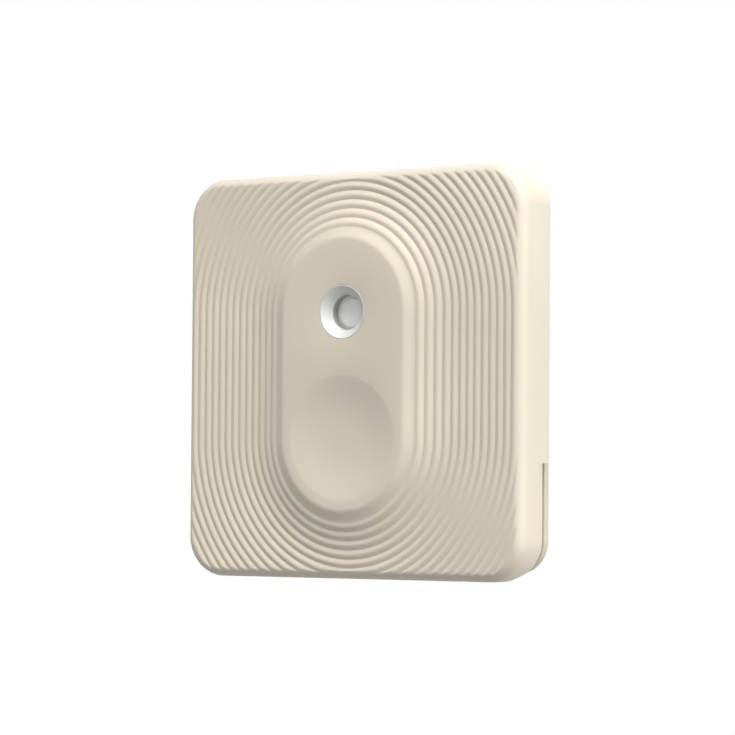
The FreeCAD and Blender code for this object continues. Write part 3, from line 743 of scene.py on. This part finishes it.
def finish(name, group, tone, shade, roughness, bump, extra, **shader_values):
    """A material of one colour that drifts towards a darker shade of it."""
    darker = [channel * shade for channel in tone]
    values = {"Colour": opaque(tone), "Shade": opaque(darker), "Roughness": roughness, **extra}
    return material(name, group, values, bump, **shader_values)


def plastic(name, tone, shade=0.94, roughness=0.5, grain=9000.0, bump=0.004, drift=60.0):
    """A moulded plastic of one colour, or a foam where the drift is as fine as its cells."""
    return finish(name, "moulded", tone, shade, roughness, bump,
                  {"Grain per metre": grain, "Drift per metre": drift})


def paint_shade_behind(made, depth, share):
    """Paint shade into a material's colour behind a depth, given in mm from the wall."""
    tree = made.node_tree
    base = tree.nodes["Principled BSDF"].inputs["Base Color"]
    split = add_node(tree, "SeparateXYZ", {
        "Vector": add_node(tree, "TexCoord").outputs["Object"]})
    behind = add_node(tree, "MapRange", {
        "Value": split.outputs["Y"], "From Min": -depth * MM,
        "From Max": -(depth - PAINTED_SHADE_FADE) * MM, "To Min": 1.0, "To Max": share})
    scale = add_node(tree, "VectorMath", {
        "Vector": base.links[0].from_socket, "Scale": behind.outputs["Result"],
    }, operation="SCALE")
    tree.links.new(scale.outputs["Vector"], base)


def metal(name, tone, shade=0.75, roughness=0.3, stretch=(300.0, 300.0, 9000.0), bump=0.002):
    """A sheet metal of one colour with fine streaks."""
    return finish(name, "brushed", tone, shade, roughness, bump, {"Stretch": stretch},
                  Metallic=1.0)


def length(label, default, about):
    """A size property: its default is given in mm."""
    return FloatProperty(name=label, description=about, default=default * MM, min=0.0,
                         unit="LENGTH", precision=5)


def colour(label, default, about):
    """A colour property."""
    return FloatVectorProperty(name=label, description=about, default=default, size=3,
                               min=0.0, max=1.0, subtype="COLOR")


class ShellSizes(bpy.types.PropertyGroup):
    """Sizes of the ribbed front."""
    rib_pitch: length("Rib pitch", 0.934, "Distance from groove to groove")
    rib_depth: length("Rib depth", 0.15, "Height of a crest over its grooves")
    boss_rise: length("Boss rise", 1.48, "Height of the boss over the level grooves")
    shoulder_round: length("Shoulder rounding", 1.3, "Radius from the boss's face into its side")
    flare_rise: length("Flare rise", 0.92, "Height of the first groove over the level ones")
    edge_round: length("Edge rounding", 1.4, "Radius of the case's front edge")
    dish_radius: length("Dish radius", 6.8, "Radius of the dish in the boss")
    dish_depth: length("Dish depth", 0.55, "Depth of the dish in the boss")


class PortSizes(bpy.types.PropertyGroup):
    """Sizes of the funnel and its button."""
    mouth_radius: length("Mouth radius", 2.83, "Radius of the funnel at the boss's face")
    throat_radius: length("Throat radius", 1.9, "Radius of the funnel's inner end")
    throat_depth: length("Throat depth", 0.96, "Depth of the funnel's cone")
    button_radius: length("Button radius", 1.6, "Radius of the button's face")


class FinishColours(bpy.types.PropertyGroup):
    """Colours of the finishes."""
    ivory: colour("Ivory", (0.80, 0.725, 0.595), "Shell and cover")
    white: colour("White", (0.80, 0.795, 0.775), "Funnel")
    grey: colour("Grey", (0.93, 0.93, 0.925), "Button")


def power(label, default, about):
    """A lamp's power."""
    return FloatProperty(name=label, description=about, default=default, min=0.0, unit="POWER")


def strength(label, default, about):
    """A soft light's strength."""
    return FloatProperty(name=label, description=about, default=default, min=0.0, soft_max=1.0)


class StudioLight(bpy.types.PropertyGroup):
    """Brightness of the studio."""
    right: power("Right lamp", 2.6, "Power of the lamp on the right")
    upper: power("Upper lamp", 5.0, "Power of the lamp above")
    diagonal: power("Diagonal lamp", 2.0, "Power of the upper right lamp")
    side: power("Side lamp", 1.7, "Power of the lamp at the right rear")
    rear: power("Rear lamp", 4.5, "Power of the lamp behind")
    front: strength("Front", 0.64, "Soft light from the front")
    left: strength("Left", 0.15, "Soft light from the left")
    back: strength("Back", 0.25, "Soft light from behind")


class SENSOR_OT_finishes(bpy.types.Operator):
    """Make the texture groups that the materials share"""
    bl_idname = "sensor.finishes"
    bl_label = "Finishes"

    def execute(self, context):
        moulded_group()
        brushed_group()
        return {"FINISHED"}


class SENSOR_OT_front_housing(bpy.types.Operator):
    """Build the ribbed shell with its boss, dish, port hole, notch and inside"""
    bl_idname = "sensor.front_housing"
    bl_label = "Front housing"

    def execute(self, context):
        shell = context.scene.sensor_shell
        skin, boss_loop, base, normals, wall_depth = ribbed_skin(shell)
        edge_r = shell.edge_round / MM
        dish = dish_profile(shell.dish_radius / MM, shell.dish_depth / MM)
        dish_loop = circle(224) * dish[-1, 0] + [0, DISH_Z]
        port_loop = circle(128) * (PORT_R + PORT_EDGE) + [0, PORT_Z]
        boss_ceiling = BOSS_TOP - BOSS_WALL
        port = soften([(PORT_R + PORT_EDGE, BOSS_TOP), (PORT_R, BOSS_TOP),
                       (PORT_R, boss_ceiling)], (PORT_EDGE * 0.999,))
        pocket_loop = pill_loop(POCKET_R, BOSS_HALF, 0.5)
        inner = edge_r - SIDE_WALL
        wall = soften([(edge_r, wall_depth), (edge_r, CASE_RIM), (inner, CASE_RIM),
                       (inner, CEILING)], (RIM_EDGE, RIM_INNER_EDGE))
        stands, holes = housing_inside()
        pocket = place(pocket_loop[:, :1], np.array([[CEILING, boss_ceiling]]), pocket_loop[:, 1:])
        patches = skin + [
            web(BOSS_TOP, boss_loop, dish_loop, port_loop),
            lathe(dish, 0, DISH_Z, 224),
            lathe(port, 0, PORT_Z, 128),
            carry(base, normals, wall),
            web(CEILING, base + normals * inner, pocket_loop, *holes),
            grid(pocket, closed=True),
            web(boss_ceiling, pocket_loop, circle(128) * PORT_R + [0, PORT_Z]),
            *stands,
        ]
        ivory = plastic("ivory_plastic", context.scene.sensor_colours.ivory)
        obj = cut_away(placed("ribbed_shell", mesh_of("ribbed_shell", patches)), notch_cutter())
        settle(obj, ivory, "sensor_unit", ["front_housing"])
        return {"FINISHED"}


class SENSOR_OT_port_bezel(bpy.types.Operator):
    """Build the white funnel"""
    bl_idname = "sensor.port_bezel"
    bl_label = "Funnel"

    def execute(self, context):
        port = context.scene.sensor_port
        mouth, throat = port.mouth_radius / MM, port.throat_radius / MM
        outer = PORT_R - BEZEL_PLAY
        cone_end = BOSS_TOP - port.throat_depth / MM
        flange_front = BOSS_TOP - BOSS_WALL
        outline = [(mouth, BOSS_TOP), (outer, BOSS_TOP), (outer, flange_front),
                   (BEZEL_FLANGE_R, flange_front), (BEZEL_FLANGE_R, flange_front - BEZEL_FLANGE_T),
                   (BEZEL_TUBE_R, flange_front - BEZEL_FLANGE_T), (BEZEL_TUBE_R, BEZEL_BACK),
                   (throat, BEZEL_BACK), (throat, cone_end), (mouth, BOSS_TOP)]
        profile = soften(outline, (0.05, 0, 0.06, 0.06, 0, 0.06, 0.06, 0.08))
        white = plastic("white_plastic", context.scene.sensor_colours.white, roughness=0.42)
        # painted shade: the funnel's tube behind its cone is darkened in its colour
        paint_shade_behind(white, cone_end, TUBE_PAINTED_SHADE)
        piece("port_funnel", [lathe(profile, 0, PORT_Z, 160)], white,
              "sensor_unit", ["port_bezel"])
        return {"FINISHED"}


class SENSOR_OT_control_button(bpy.types.Operator):
    """Build the round grey button"""
    bl_idname = "sensor.control_button"
    bl_label = "Button"

    def execute(self, context):
        radius = context.scene.sensor_port.button_radius / MM
        low, high = reach("control_button")
        back, flange_r = low[DEPTH], high[ACROSS]
        flange_front = back + BUTTON_FLANGE_T
        outline = [(0, BUTTON_FACE), (radius, BUTTON_FACE), (radius, flange_front),
                   (flange_r, flange_front), (flange_r, back), (0, back)]
        profile = soften(outline, (0.16, 0.05, 0.05, 0.05))
        grey = plastic("grey_plastic", context.scene.sensor_colours.grey, roughness=0.38)
        # painted light: the button glows faintly, though it is no lamp
        shader = grey.node_tree.nodes["Principled BSDF"]
        shader.inputs["Emission Color"].default_value = (1, 1, 1, 1)
        shader.inputs["Emission Strength"].default_value = BUTTON_PAINTED_GLOW
        piece("button_cap", [lathe(profile, 0, PORT_Z, 128)], grey,
              "button", ["control_button"])
        return {"FINISHED"}


class SENSOR_OT_back_cover(bpy.types.Operator):
    """Build the cover that stays on the wall, its adhesive and the disc that holds the cell"""
    bl_idname = "sensor.back_cover"
    bl_label = "Back cover"

    def execute(self, context):
        colours = context.scene.sensor_colours
        step = -COVER_STEP
        edge = [(-EDGE_INSET, COVER_BACK), (step, COVER_BACK), (step, COVER_STEP_AT),
                (0, COVER_STEP_AT), (0, COVER_FRONT), (-SPIGOT_INSET, COVER_FRONT),
                (-SPIGOT_INSET, SPIGOT_FRONT), (-SPIGOT_INSET - SPIGOT_T, SPIGOT_FRONT),
                (-SPIGOT_INSET - SPIGOT_T, COVER_FRONT)]
        profile = soften(edge, (0.25, 0.04, 0.06, 0.12, 0.05, 0.2, 0.1))
        base, normals = square_loop(COVER_HALF, COVER_CORNER, 0.3)
        recess, recess_out = square_loop(RECESS_HALF, RECESS_CORNER, 0.4)
        recess_wall = soften([(RECESS_LIP, COVER_BACK), (0, COVER_BACK), (0, PAD_T)], (0.07,))
        pocket = soften([(CELL_POCKET_R + POCKET_LIP, COVER_FRONT), (CELL_POCKET_R, COVER_FRONT),
                         (CELL_POCKET_R, POCKET_FLOOR), (0, POCKET_FLOOR)], (0.08, 0.06))
        tongues, feet = [], []
        for side in (-1, 1):
            for place_at, size in (((side * TONGUE_PLACE, 0), (TONGUE_T, TONGUE_W)),
                                   ((0, side * TONGUE_PLACE), (TONGUE_W, TONGUE_T))):
                loop, out = box_loop(*place_at, *size, 0.3)
                rise = soften([(0, COVER_FRONT), (0, TONGUE_FRONT - TONGUE_TIP),
                               (-TONGUE_TAPER, TONGUE_FRONT), (-TONGUE_END, TONGUE_FRONT)],
                              (0.5, 0.08))
                tongues += [carry(loop, out, rise), web(TONGUE_FRONT, loop - out * TONGUE_END)]
                feet.append(loop)
        patches = [
            carry(base, normals, profile),
            web(COVER_BACK, base - normals * EDGE_INSET,
                recess + recess_out * RECESS_LIP),
            carry(recess, recess_out, recess_wall),
            web(PAD_T, recess),
            web(COVER_FRONT, base - normals * (SPIGOT_INSET + SPIGOT_T),
                circle(128) * (CELL_POCKET_R + POCKET_LIP), *feet),
            lathe(pocket, count=128),
            *tongues,
        ]
        ivory = plastic("ivory_cover_plastic", [c * 0.86 for c in colours.ivory], roughness=0.55)
        piece("cover_plate", patches, ivory, "wall_cover", ["back_cover"])

        pad, pad_out = square_loop(PAD_HALF, PAD_CORNER, 0.4)
        side = [(-1.0, 0), (0, 0), (0.03, 0.1), (-0.02, PAD_T / 2), (0.03, PAD_T - 0.1),
                (0, PAD_T), (-1.0, PAD_T)]
        side = soften(side, (0.05, 0.04, 0.1, 0.04, 0.05), 3)
        tape = plastic("foam_tape", (0.80, 0.79, 0.75), shade=0.8, roughness=0.62, grain=3600.0,
                       bump=0.06, drift=1300.0)
        piece("tape_pad", [carry(pad, pad_out, side), web(0, pad - pad_out),
                           web(PAD_T, pad - pad_out)], tape, "wall_cover",
              ["adhesive_pad"])

        disc = soften([(0, POCKET_FLOOR), (CELL_PAD_R, POCKET_FLOOR), (CELL_PAD_R, CELL_PAD_FRONT),
                       (0, CELL_PAD_FRONT)], (0.03, 0.08))
        foam = plastic("dark_foam", (0.042, 0.042, 0.045), shade=0.5, roughness=0.85,
                       grain=5200.0, bump=0.03, drift=2600.0)
        piece("cell_cushion", [lathe(disc)], foam, "wall_cover", ["cell_pad"])
        return {"FINISHED"}


class SENSOR_OT_coin_cell(bpy.types.Operator):
    """Build the coin cell: can with its plus sign, cap, seal ring and core"""
    bl_idname = "sensor.coin_cell"
    bl_label = "Coin cell"

    def execute(self, context):
        can = soften([(0, CELL_BACK), (CELL_R, CELL_BACK), (CELL_R, CAN_RIM),
                      (CAN_MOUTH_R, CAN_RIM), (CAN_MOUTH_R, CAN_RIM - SHEET),
                      (CELL_R - SHEET, CAN_RIM - SHEET), (CELL_R - SHEET, CELL_BACK + SHEET),
                      (0, CELL_BACK + SHEET)], (0.4, 0.3, 0.1, 0.08, 0.1, 0.15), 6)
        plus = plus_loop(3.4, 0.5)
        steel = metal("cell_metal", (0.66, 0.66, 0.655), shade=0.86, roughness=0.24,
                      stretch=(9000.0, 300.0, 260.0))
        piece("can_shell", [lathe(can, count=160)] + prism(plus, CELL_BACK - 0.008,
                                                           CELL_BACK + 0.05),
              steel, "coin_cell", ["cell_can"])
        cap = soften([(0, CELL_FRONT), (CAP_R, CELL_FRONT), (CAP_R, CAN_RIM - SHEET),
                      (CAP_R - SHEET, CAN_RIM - SHEET), (CAP_R - SHEET, CELL_FRONT - SHEET),
                      (0, CELL_FRONT - SHEET)], (0.24, 0.05, 0.05, 0.1), 6)
        piece("cap_shell", [lathe(cap, count=160)], steel, "coin_cell",
              ["cell_cap"])
        ring = [(CAP_R, CAN_RIM - SHEET), (CAN_MOUTH_R, CAN_RIM - SHEET),
                (CAN_MOUTH_R, CAN_RIM), (CAP_R, CAN_RIM), (CAP_R, CAN_RIM - SHEET)]
        seal = plastic("seal_plastic", (0.05, 0.05, 0.055), roughness=0.6)
        piece("seal_ring", [lathe(soften(ring, (0.04, 0.08, 0.08)), count=160)], seal,
              "coin_cell", ["cell_gasket"])
        core = soften([(0, CELL_BACK + SHEET), (CORE_R, CELL_BACK + SHEET),
                       (CORE_R, CAN_RIM - SHEET), (0, CAN_RIM - SHEET)], (0.15, 0.15))
        powder = plastic("pressed_powder", (0.02, 0.02, 0.021), roughness=0.9, grain=7000.0,
                         bump=0.02)
        piece("pressed_core", [lathe(core, count=96)], powder, "coin_cell",
              ["cell_core"])
        return {"FINISHED"}


class SENSOR_OT_inner_frame(bpy.types.Operator):
    """Build the frame that clamps the board and its four cross-head screws"""
    bl_idname = "sensor.inner_frame"
    bl_label = "Inner frame"

    def execute(self, context):
        dark = plastic("frame_black", (0.028, 0.028, 0.03), shade=0.8, roughness=0.5,
                       grain=7000.0, bump=0.006)
        rounded_copy("clamp_frame", "inner_frame", dark, "sensor_unit", 0.08)
        head = soften([(0, SCREW_HEAD_BACK), (0.85, SCREW_HEAD_BACK + 0.03),
                       (SCREW_HEAD_R, SCREW_HEAD_BACK + 0.28), (SCREW_HEAD_R, SCREW_SEAT),
                       (SCREW_R, SCREW_SEAT), (SCREW_R, SCREW_END - 0.3),
                       (SCREW_R - 0.3, SCREW_END), (0, SCREW_END)],
                      (0.4, 0.15, 0.05, 0.05, 0.05, 0.05), 4)
        patches, crosses = [], []
        for x in (-POST_PLACE, POST_PLACE):
            for z in (-POST_PLACE, POST_PLACE):
                patches.append(lathe(head, x, z, 48))
                crosses += prism(plus_loop(CROSS_LONG, CROSS_WIDE, x, z),
                                 SCREW_HEAD_BACK - 0.5, CROSS_FLOOR)
        steel = metal("screw_steel", (0.55, 0.55, 0.56), roughness=0.28,
                      stretch=(5000.0, 500.0, 5000.0))
        obj = cut_away(placed("cross_screws", mesh_of("cross_screws", patches)), crosses)
        settle(obj, steel, "sensor_unit", ["frame_screws"])
        return {"FINISHED"}


class SENSOR_OT_contacts(bpy.types.Operator):
    """Build the cell's two contacts"""
    bl_idname = "sensor.contacts"
    bl_label = "Contacts"

    def execute(self, context):
        gold = metal("gold_flash", (0.80, 0.60, 0.27), roughness=0.26,
                     stretch=(400.0, 6000.0, 400.0))
        rounded_copy("round_contact", "negative_contact", gold, "sensor_unit",
                     0.02)
        rounded_copy("side_contact", "positive_contact", gold, "sensor_unit",
                     0.03)
        return {"FINISHED"}


class SENSOR_OT_circuit_board(bpy.types.Operator):
    """Build the board and the parts that are soldered to it"""
    bl_idname = "sensor.circuit_board"
    bl_label = "Circuit board"

    def execute(self, context):
        laminate = board_laminate()
        rounded_copy("laminate", "circuit_board", laminate, "sensor_unit", 0.04)
        black = plastic("chip_resin", (0.018, 0.018, 0.02), shade=0.75, roughness=0.46,
                        grain=9000.0, bump=0.006)
        tin = metal("tin", (0.72, 0.72, 0.73), roughness=0.3, stretch=(2500.0, 2500.0, 2500.0))
        fired = plastic("fired_ceramic", (0.34, 0.26, 0.18), roughness=0.7, grain=8000.0,
                        bump=0.006)
        clear = plastic("led_resin", (0.80, 0.78, 0.50), roughness=0.2)
        foam = bpy.data.materials["dark_foam"]
        pale = plastic("plunger_plastic", (0.52, 0.48, 0.41), roughness=0.5)
        for name, node, made, slot, body, width in (
                ("switch_case", "switch_body", black, "black_chip", "sensor_unit", 0.1),
                ("plunger_pin", "switch_plunger", pale, "plunger", "button", 0.1),
                ("sensing_chip", "humidity_sensor", black, "black_chip", "sensor_unit", 0.05),
                ("foam_wall", "sensor_gasket", foam, "foam", "sensor_unit", 0.08),
                ("radio_package", "radio_chip", black, "black_chip", "sensor_unit", 0.05),
                ("shield_lid", "shield_can", tin, "steel", "sensor_unit", 0.12),
                ("antenna_body", "chip_antenna", fired, "ceramic", "sensor_unit", 0.06)):
            rounded_copy(name, node, made, body, width)
        self.capped("led_body", "status_led", clear, tin, "led_lens", 1)
        self.capped("crystal_lid", "crystal", tin, tin, "steel", 0)
        self.capped("tall_capacitor", "bulk_capacitor", fired, tin, "ceramic", 1)
        low, high = reach("board_passives")
        half = SMALL_LONG / 2
        rows = np.linspace(low[2] + half, high[2] - half, SMALL_PARTS)
        for side in (-1, 1):
            ends, bodies = [], []
            for row in rows:
                across = side * (high[0] - SMALL_WIDE / 2)
                bodies += block(across, row, SMALL_WIDE - 0.04, SMALL_BODY, low[1], high[1] - 0.02,
                                0.06, 0.03)
                for end in (-1, 1):
                    place_at = row + end * (SMALL_LONG - SMALL_END) / 2
                    ends += block(across, place_at, SMALL_WIDE, SMALL_END, low[1], high[1],
                                  0.06, 0.05)
            names = ("left", "right")
            piece(names[side > 0] + "_small_parts", bodies, fired, "sensor_unit",
                  ["board_passives"])
            piece(names[side > 0] + "_small_ends", ends, tin, "sensor_unit")
        return {"FINISHED"}

    def capped(self, name, node, made, tin, slot, upright):
        """A small block part with a metal cap at each end, in place of its node."""
        low, high = reach(node)
        size = [high[0] - low[0], high[2] - low[2]]
        middle = [(high[0] + low[0]) / 2, (high[2] + low[2]) / 2]
        share = list(size)
        share[upright] *= 0.7
        piece(name, block(*middle, share[0] - 0.04, share[1] - 0.04, low[1] + 0.01,
                          high[1] - 0.02, 0.08, 0.05), made, "sensor_unit", [node])
        ends = []
        for side in (-1, 1):
            cap, where = list(size), list(middle)
            cap[upright] *= 0.18
            where[upright] += side * size[upright] * 0.41
            ends += block(*where, *cap, low[1], high[1], 0.08, 0.06)
        piece(name + "_ends", ends, tin, "sensor_unit")


class SENSOR_OT_stage(bpy.types.Operator):
    """Set up the camera, the lamps, the white surroundings and the floor"""
    bl_idname = "sensor.stage"
    bl_label = "Stage"

    def execute(self, context):
        scene = context.scene
        scene.view_settings.view_transform = "Standard"
        camera_view(scene)
        surroundings(scene)
        for name, place_at, size in LAMPS:
            lamp(name, place_at, size, getattr(scene.sensor_studio, name))
        floor_sheet(scene)
        return {"FINISHED"}


CAMERA_PLACE = (0.20129, -0.29373, -0.01286)
CAMERA_YAW = math.radians(34.75)
CAMERA_RISE = math.radians(-2.23)
CAMERA_ROLL = math.radians(-0.42)
CAMERA_FIELD = math.radians(12.89)
FLOOR_Z = -150.0
FLOOR_HALF = 1500.0
FLOOR_TONE = (0.3, 0.3, 0.3, 1)   # grey towards the object, so that it throws little light up
FLOOR_GLOW = 1.035          # a little over 1, so that the floor is pure white
FLOOR_GLOW_SHARE = 0.97     # the rest keeps the object's shadow
SOFT_START = -0.2           # where a soft light begins, along its axis
LAMPS = (                   # name, place and size in metres
    ("right", (0.80, -0.12, 0.16), 0.4),
    ("upper", (0.16, -0.31, 0.77), 0.4),
    ("diagonal", (0.60, -0.36, 0.60), 0.4),
    ("side", (0.75, 0.35, 0.15), 0.4),
    ("rear", (-0.30, 0.95, 0.15), 0.5),
)


def camera_view(scene):
    """The camera at the photograph's viewing angle."""
    data = bpy.data.cameras.new("camera")
    data.sensor_width = 36.0
    data.angle = CAMERA_FIELD
    data.clip_start = 0.01
    data.clip_end = 20.0
    camera = placed("camera", data)
    back = Vector((math.sin(CAMERA_YAW) * math.cos(CAMERA_RISE),
                   -math.cos(CAMERA_YAW) * math.cos(CAMERA_RISE), math.sin(CAMERA_RISE)))
    level = Vector((math.cos(CAMERA_YAW), math.sin(CAMERA_YAW), 0))
    up = back.cross(level)
    right = level * math.cos(CAMERA_ROLL) - up * math.sin(CAMERA_ROLL)
    above = back.cross(right)
    turned = Matrix((right, above, back)).transposed().to_4x4()
    camera.matrix_world = Matrix.Translation(CAMERA_PLACE) @ turned
    scene.camera = camera


def surroundings(scene):
    """White for what sees the background, and soft light from the sides that have no lamp.

    Each soft light grows evenly with the direction's share of one axis, from a little
    behind the object's middle to straight along the axis.
    """
    world = bpy.data.worlds.new("studio")
    scene.world = world
    world.use_nodes = True
    tree = world.node_tree
    tree.nodes.clear()
    split = add_node(tree, "SeparateXYZ", {
        "Vector": add_node(tree, "TexCoord").outputs["Generated"]})
    studio = scene.sensor_studio
    total = None
    for axis, sign, most in (("X", -1, studio.left), ("Y", -1, studio.front),
                             ("Y", 1, studio.back)):
        ramp = add_node(tree, "MapRange", {
            "Value": split.outputs[axis], "From Min": SOFT_START * sign, "From Max": sign,
            "To Max": most}).outputs["Result"]
        if total is None:
            total = ramp
            continue
        total = add_node(tree, "Math", {0: total, 1: ramp}).outputs["Value"]
    soft = add_node(tree, "Background", {"Strength": total})
    white = add_node(tree, "Background", {"Color": (1, 1, 1, 1)})
    mix = add_node(tree, "MixShader", {
        "Fac": sees_background(tree), 1: soft.outputs["Background"],
        2: white.outputs["Background"]})
    add_node(tree, "OutputWorld", {"Surface": mix.outputs["Shader"]})


def sees_background(tree):
    """A socket that is 1 for rays from the camera and those that gloss or glass sends on."""
    rays = add_node(tree, "LightPath").outputs
    seen = add_node(tree, "Math", {0: rays["Is Camera Ray"], 1: rays["Is Glossy Ray"]},
                    operation="MAXIMUM")
    either = add_node(tree, "Math", {0: seen.outputs["Value"], 1: rays["Is Transmission Ray"]},
                      operation="MAXIMUM")
    return either.outputs["Value"]


def lamp(name, place_at, size, watts):
    """A square area lamp that looks at the middle of the object."""
    data = bpy.data.lights.new(name, "AREA")
    data.shape = "SQUARE"
    data.size = size
    data.energy = watts
    obj = placed(name, data)
    obj.location = place_at
    obj.rotation_euler = (-Vector(place_at)).to_track_quat("-Z", "Y").to_euler()


def floor_sheet(scene):
    """A wide floor that looks white, keeps a faint shadow and throws little light back up."""
    across, height = np.meshgrid([-FLOOR_HALF, FLOOR_HALF], [-FLOOR_HALF, FLOOR_HALF])
    patch = grid(place(across, height, FLOOR_Z))
    obj = placed("floor", mesh_of("floor", [patch]))
    made = bpy.data.materials.new("floor_white")
    made.use_nodes = True
    tree = made.node_tree
    shader = tree.nodes["Principled BSDF"]
    shader.inputs["Base Color"].default_value = FLOOR_TONE
    shader.inputs["Roughness"].default_value = 0.9
    shader.inputs["Specular IOR Level"].default_value = 0.0
    glow = add_node(tree, "Emission", {"Strength": FLOOR_GLOW})
    share = add_node(tree, "Math", {0: sees_background(tree), 1: FLOOR_GLOW_SHARE},
                     operation="MULTIPLY")
    mix = add_node(tree, "MixShader", {
        "Fac": share.outputs["Value"], 1: shader.outputs["BSDF"],
        2: glow.outputs["Emission"]})
    tree.links.new(mix.outputs["Shader"], tree.nodes["Material Output"].inputs["Surface"])
    obj.data.materials.append(made)


class SENSOR_PT_panel(bpy.types.Panel):
    """Lists the steps and the sizes and colours they use"""
    bl_idname = "SENSOR_PT_panel"
    bl_label = "Wall sensor"
    bl_space_type = "VIEW_3D"
    bl_region_type = "UI"
    bl_category = "Sensor"

    def draw(self, context):
        layout = self.layout
        for step in STEPS:
            layout.operator(step.bl_idname)
        for group in (context.scene.sensor_shell, context.scene.sensor_port,
                      context.scene.sensor_colours, context.scene.sensor_studio):
            column = layout.column()
            for key in group.bl_rna.properties.keys()[2:]:
                column.prop(group, key)


SETTINGS = {
    "sensor_shell": ShellSizes,
    "sensor_port": PortSizes,
    "sensor_colours": FinishColours,
    "sensor_studio": StudioLight,
}
STEPS = [
    SENSOR_OT_finishes,
    SENSOR_OT_front_housing,
    SENSOR_OT_port_bezel,
    SENSOR_OT_control_button,
    SENSOR_OT_back_cover,
    SENSOR_OT_coin_cell,
    SENSOR_OT_inner_frame,
    SENSOR_OT_contacts,
    SENSOR_OT_circuit_board,
    SENSOR_OT_stage,
]


def register():
    """Register the classes and hang the settings on the scene."""
    for group in SETTINGS.values():
        bpy.utils.register_class(group)
    for name, group in SETTINGS.items():
        setattr(bpy.types.Scene, name, PointerProperty(type=group))
    for step in STEPS:
        bpy.utils.register_class(step)
    bpy.utils.register_class(SENSOR_PT_panel)


def unregister():
    """Take everything that register added away again."""
    bpy.utils.unregister_class(SENSOR_PT_panel)
    for step in reversed(STEPS):
        bpy.utils.unregister_class(step)
    for name, group in reversed(SETTINGS.items()):
        delattr(bpy.types.Scene, name)
        bpy.utils.unregister_class(group)


def main():
    """Build every piece in order."""
    register()
    bpy.ops.sensor.finishes()
    bpy.ops.sensor.front_housing()
    bpy.ops.sensor.port_bezel()
    bpy.ops.sensor.control_button()
    bpy.ops.sensor.back_cover()
    bpy.ops.sensor.coin_cell()
    bpy.ops.sensor.inner_frame()
    bpy.ops.sensor.contacts()
    bpy.ops.sensor.circuit_board()
    bpy.ops.sensor.stage()


if __name__ == "__main__":
    main()
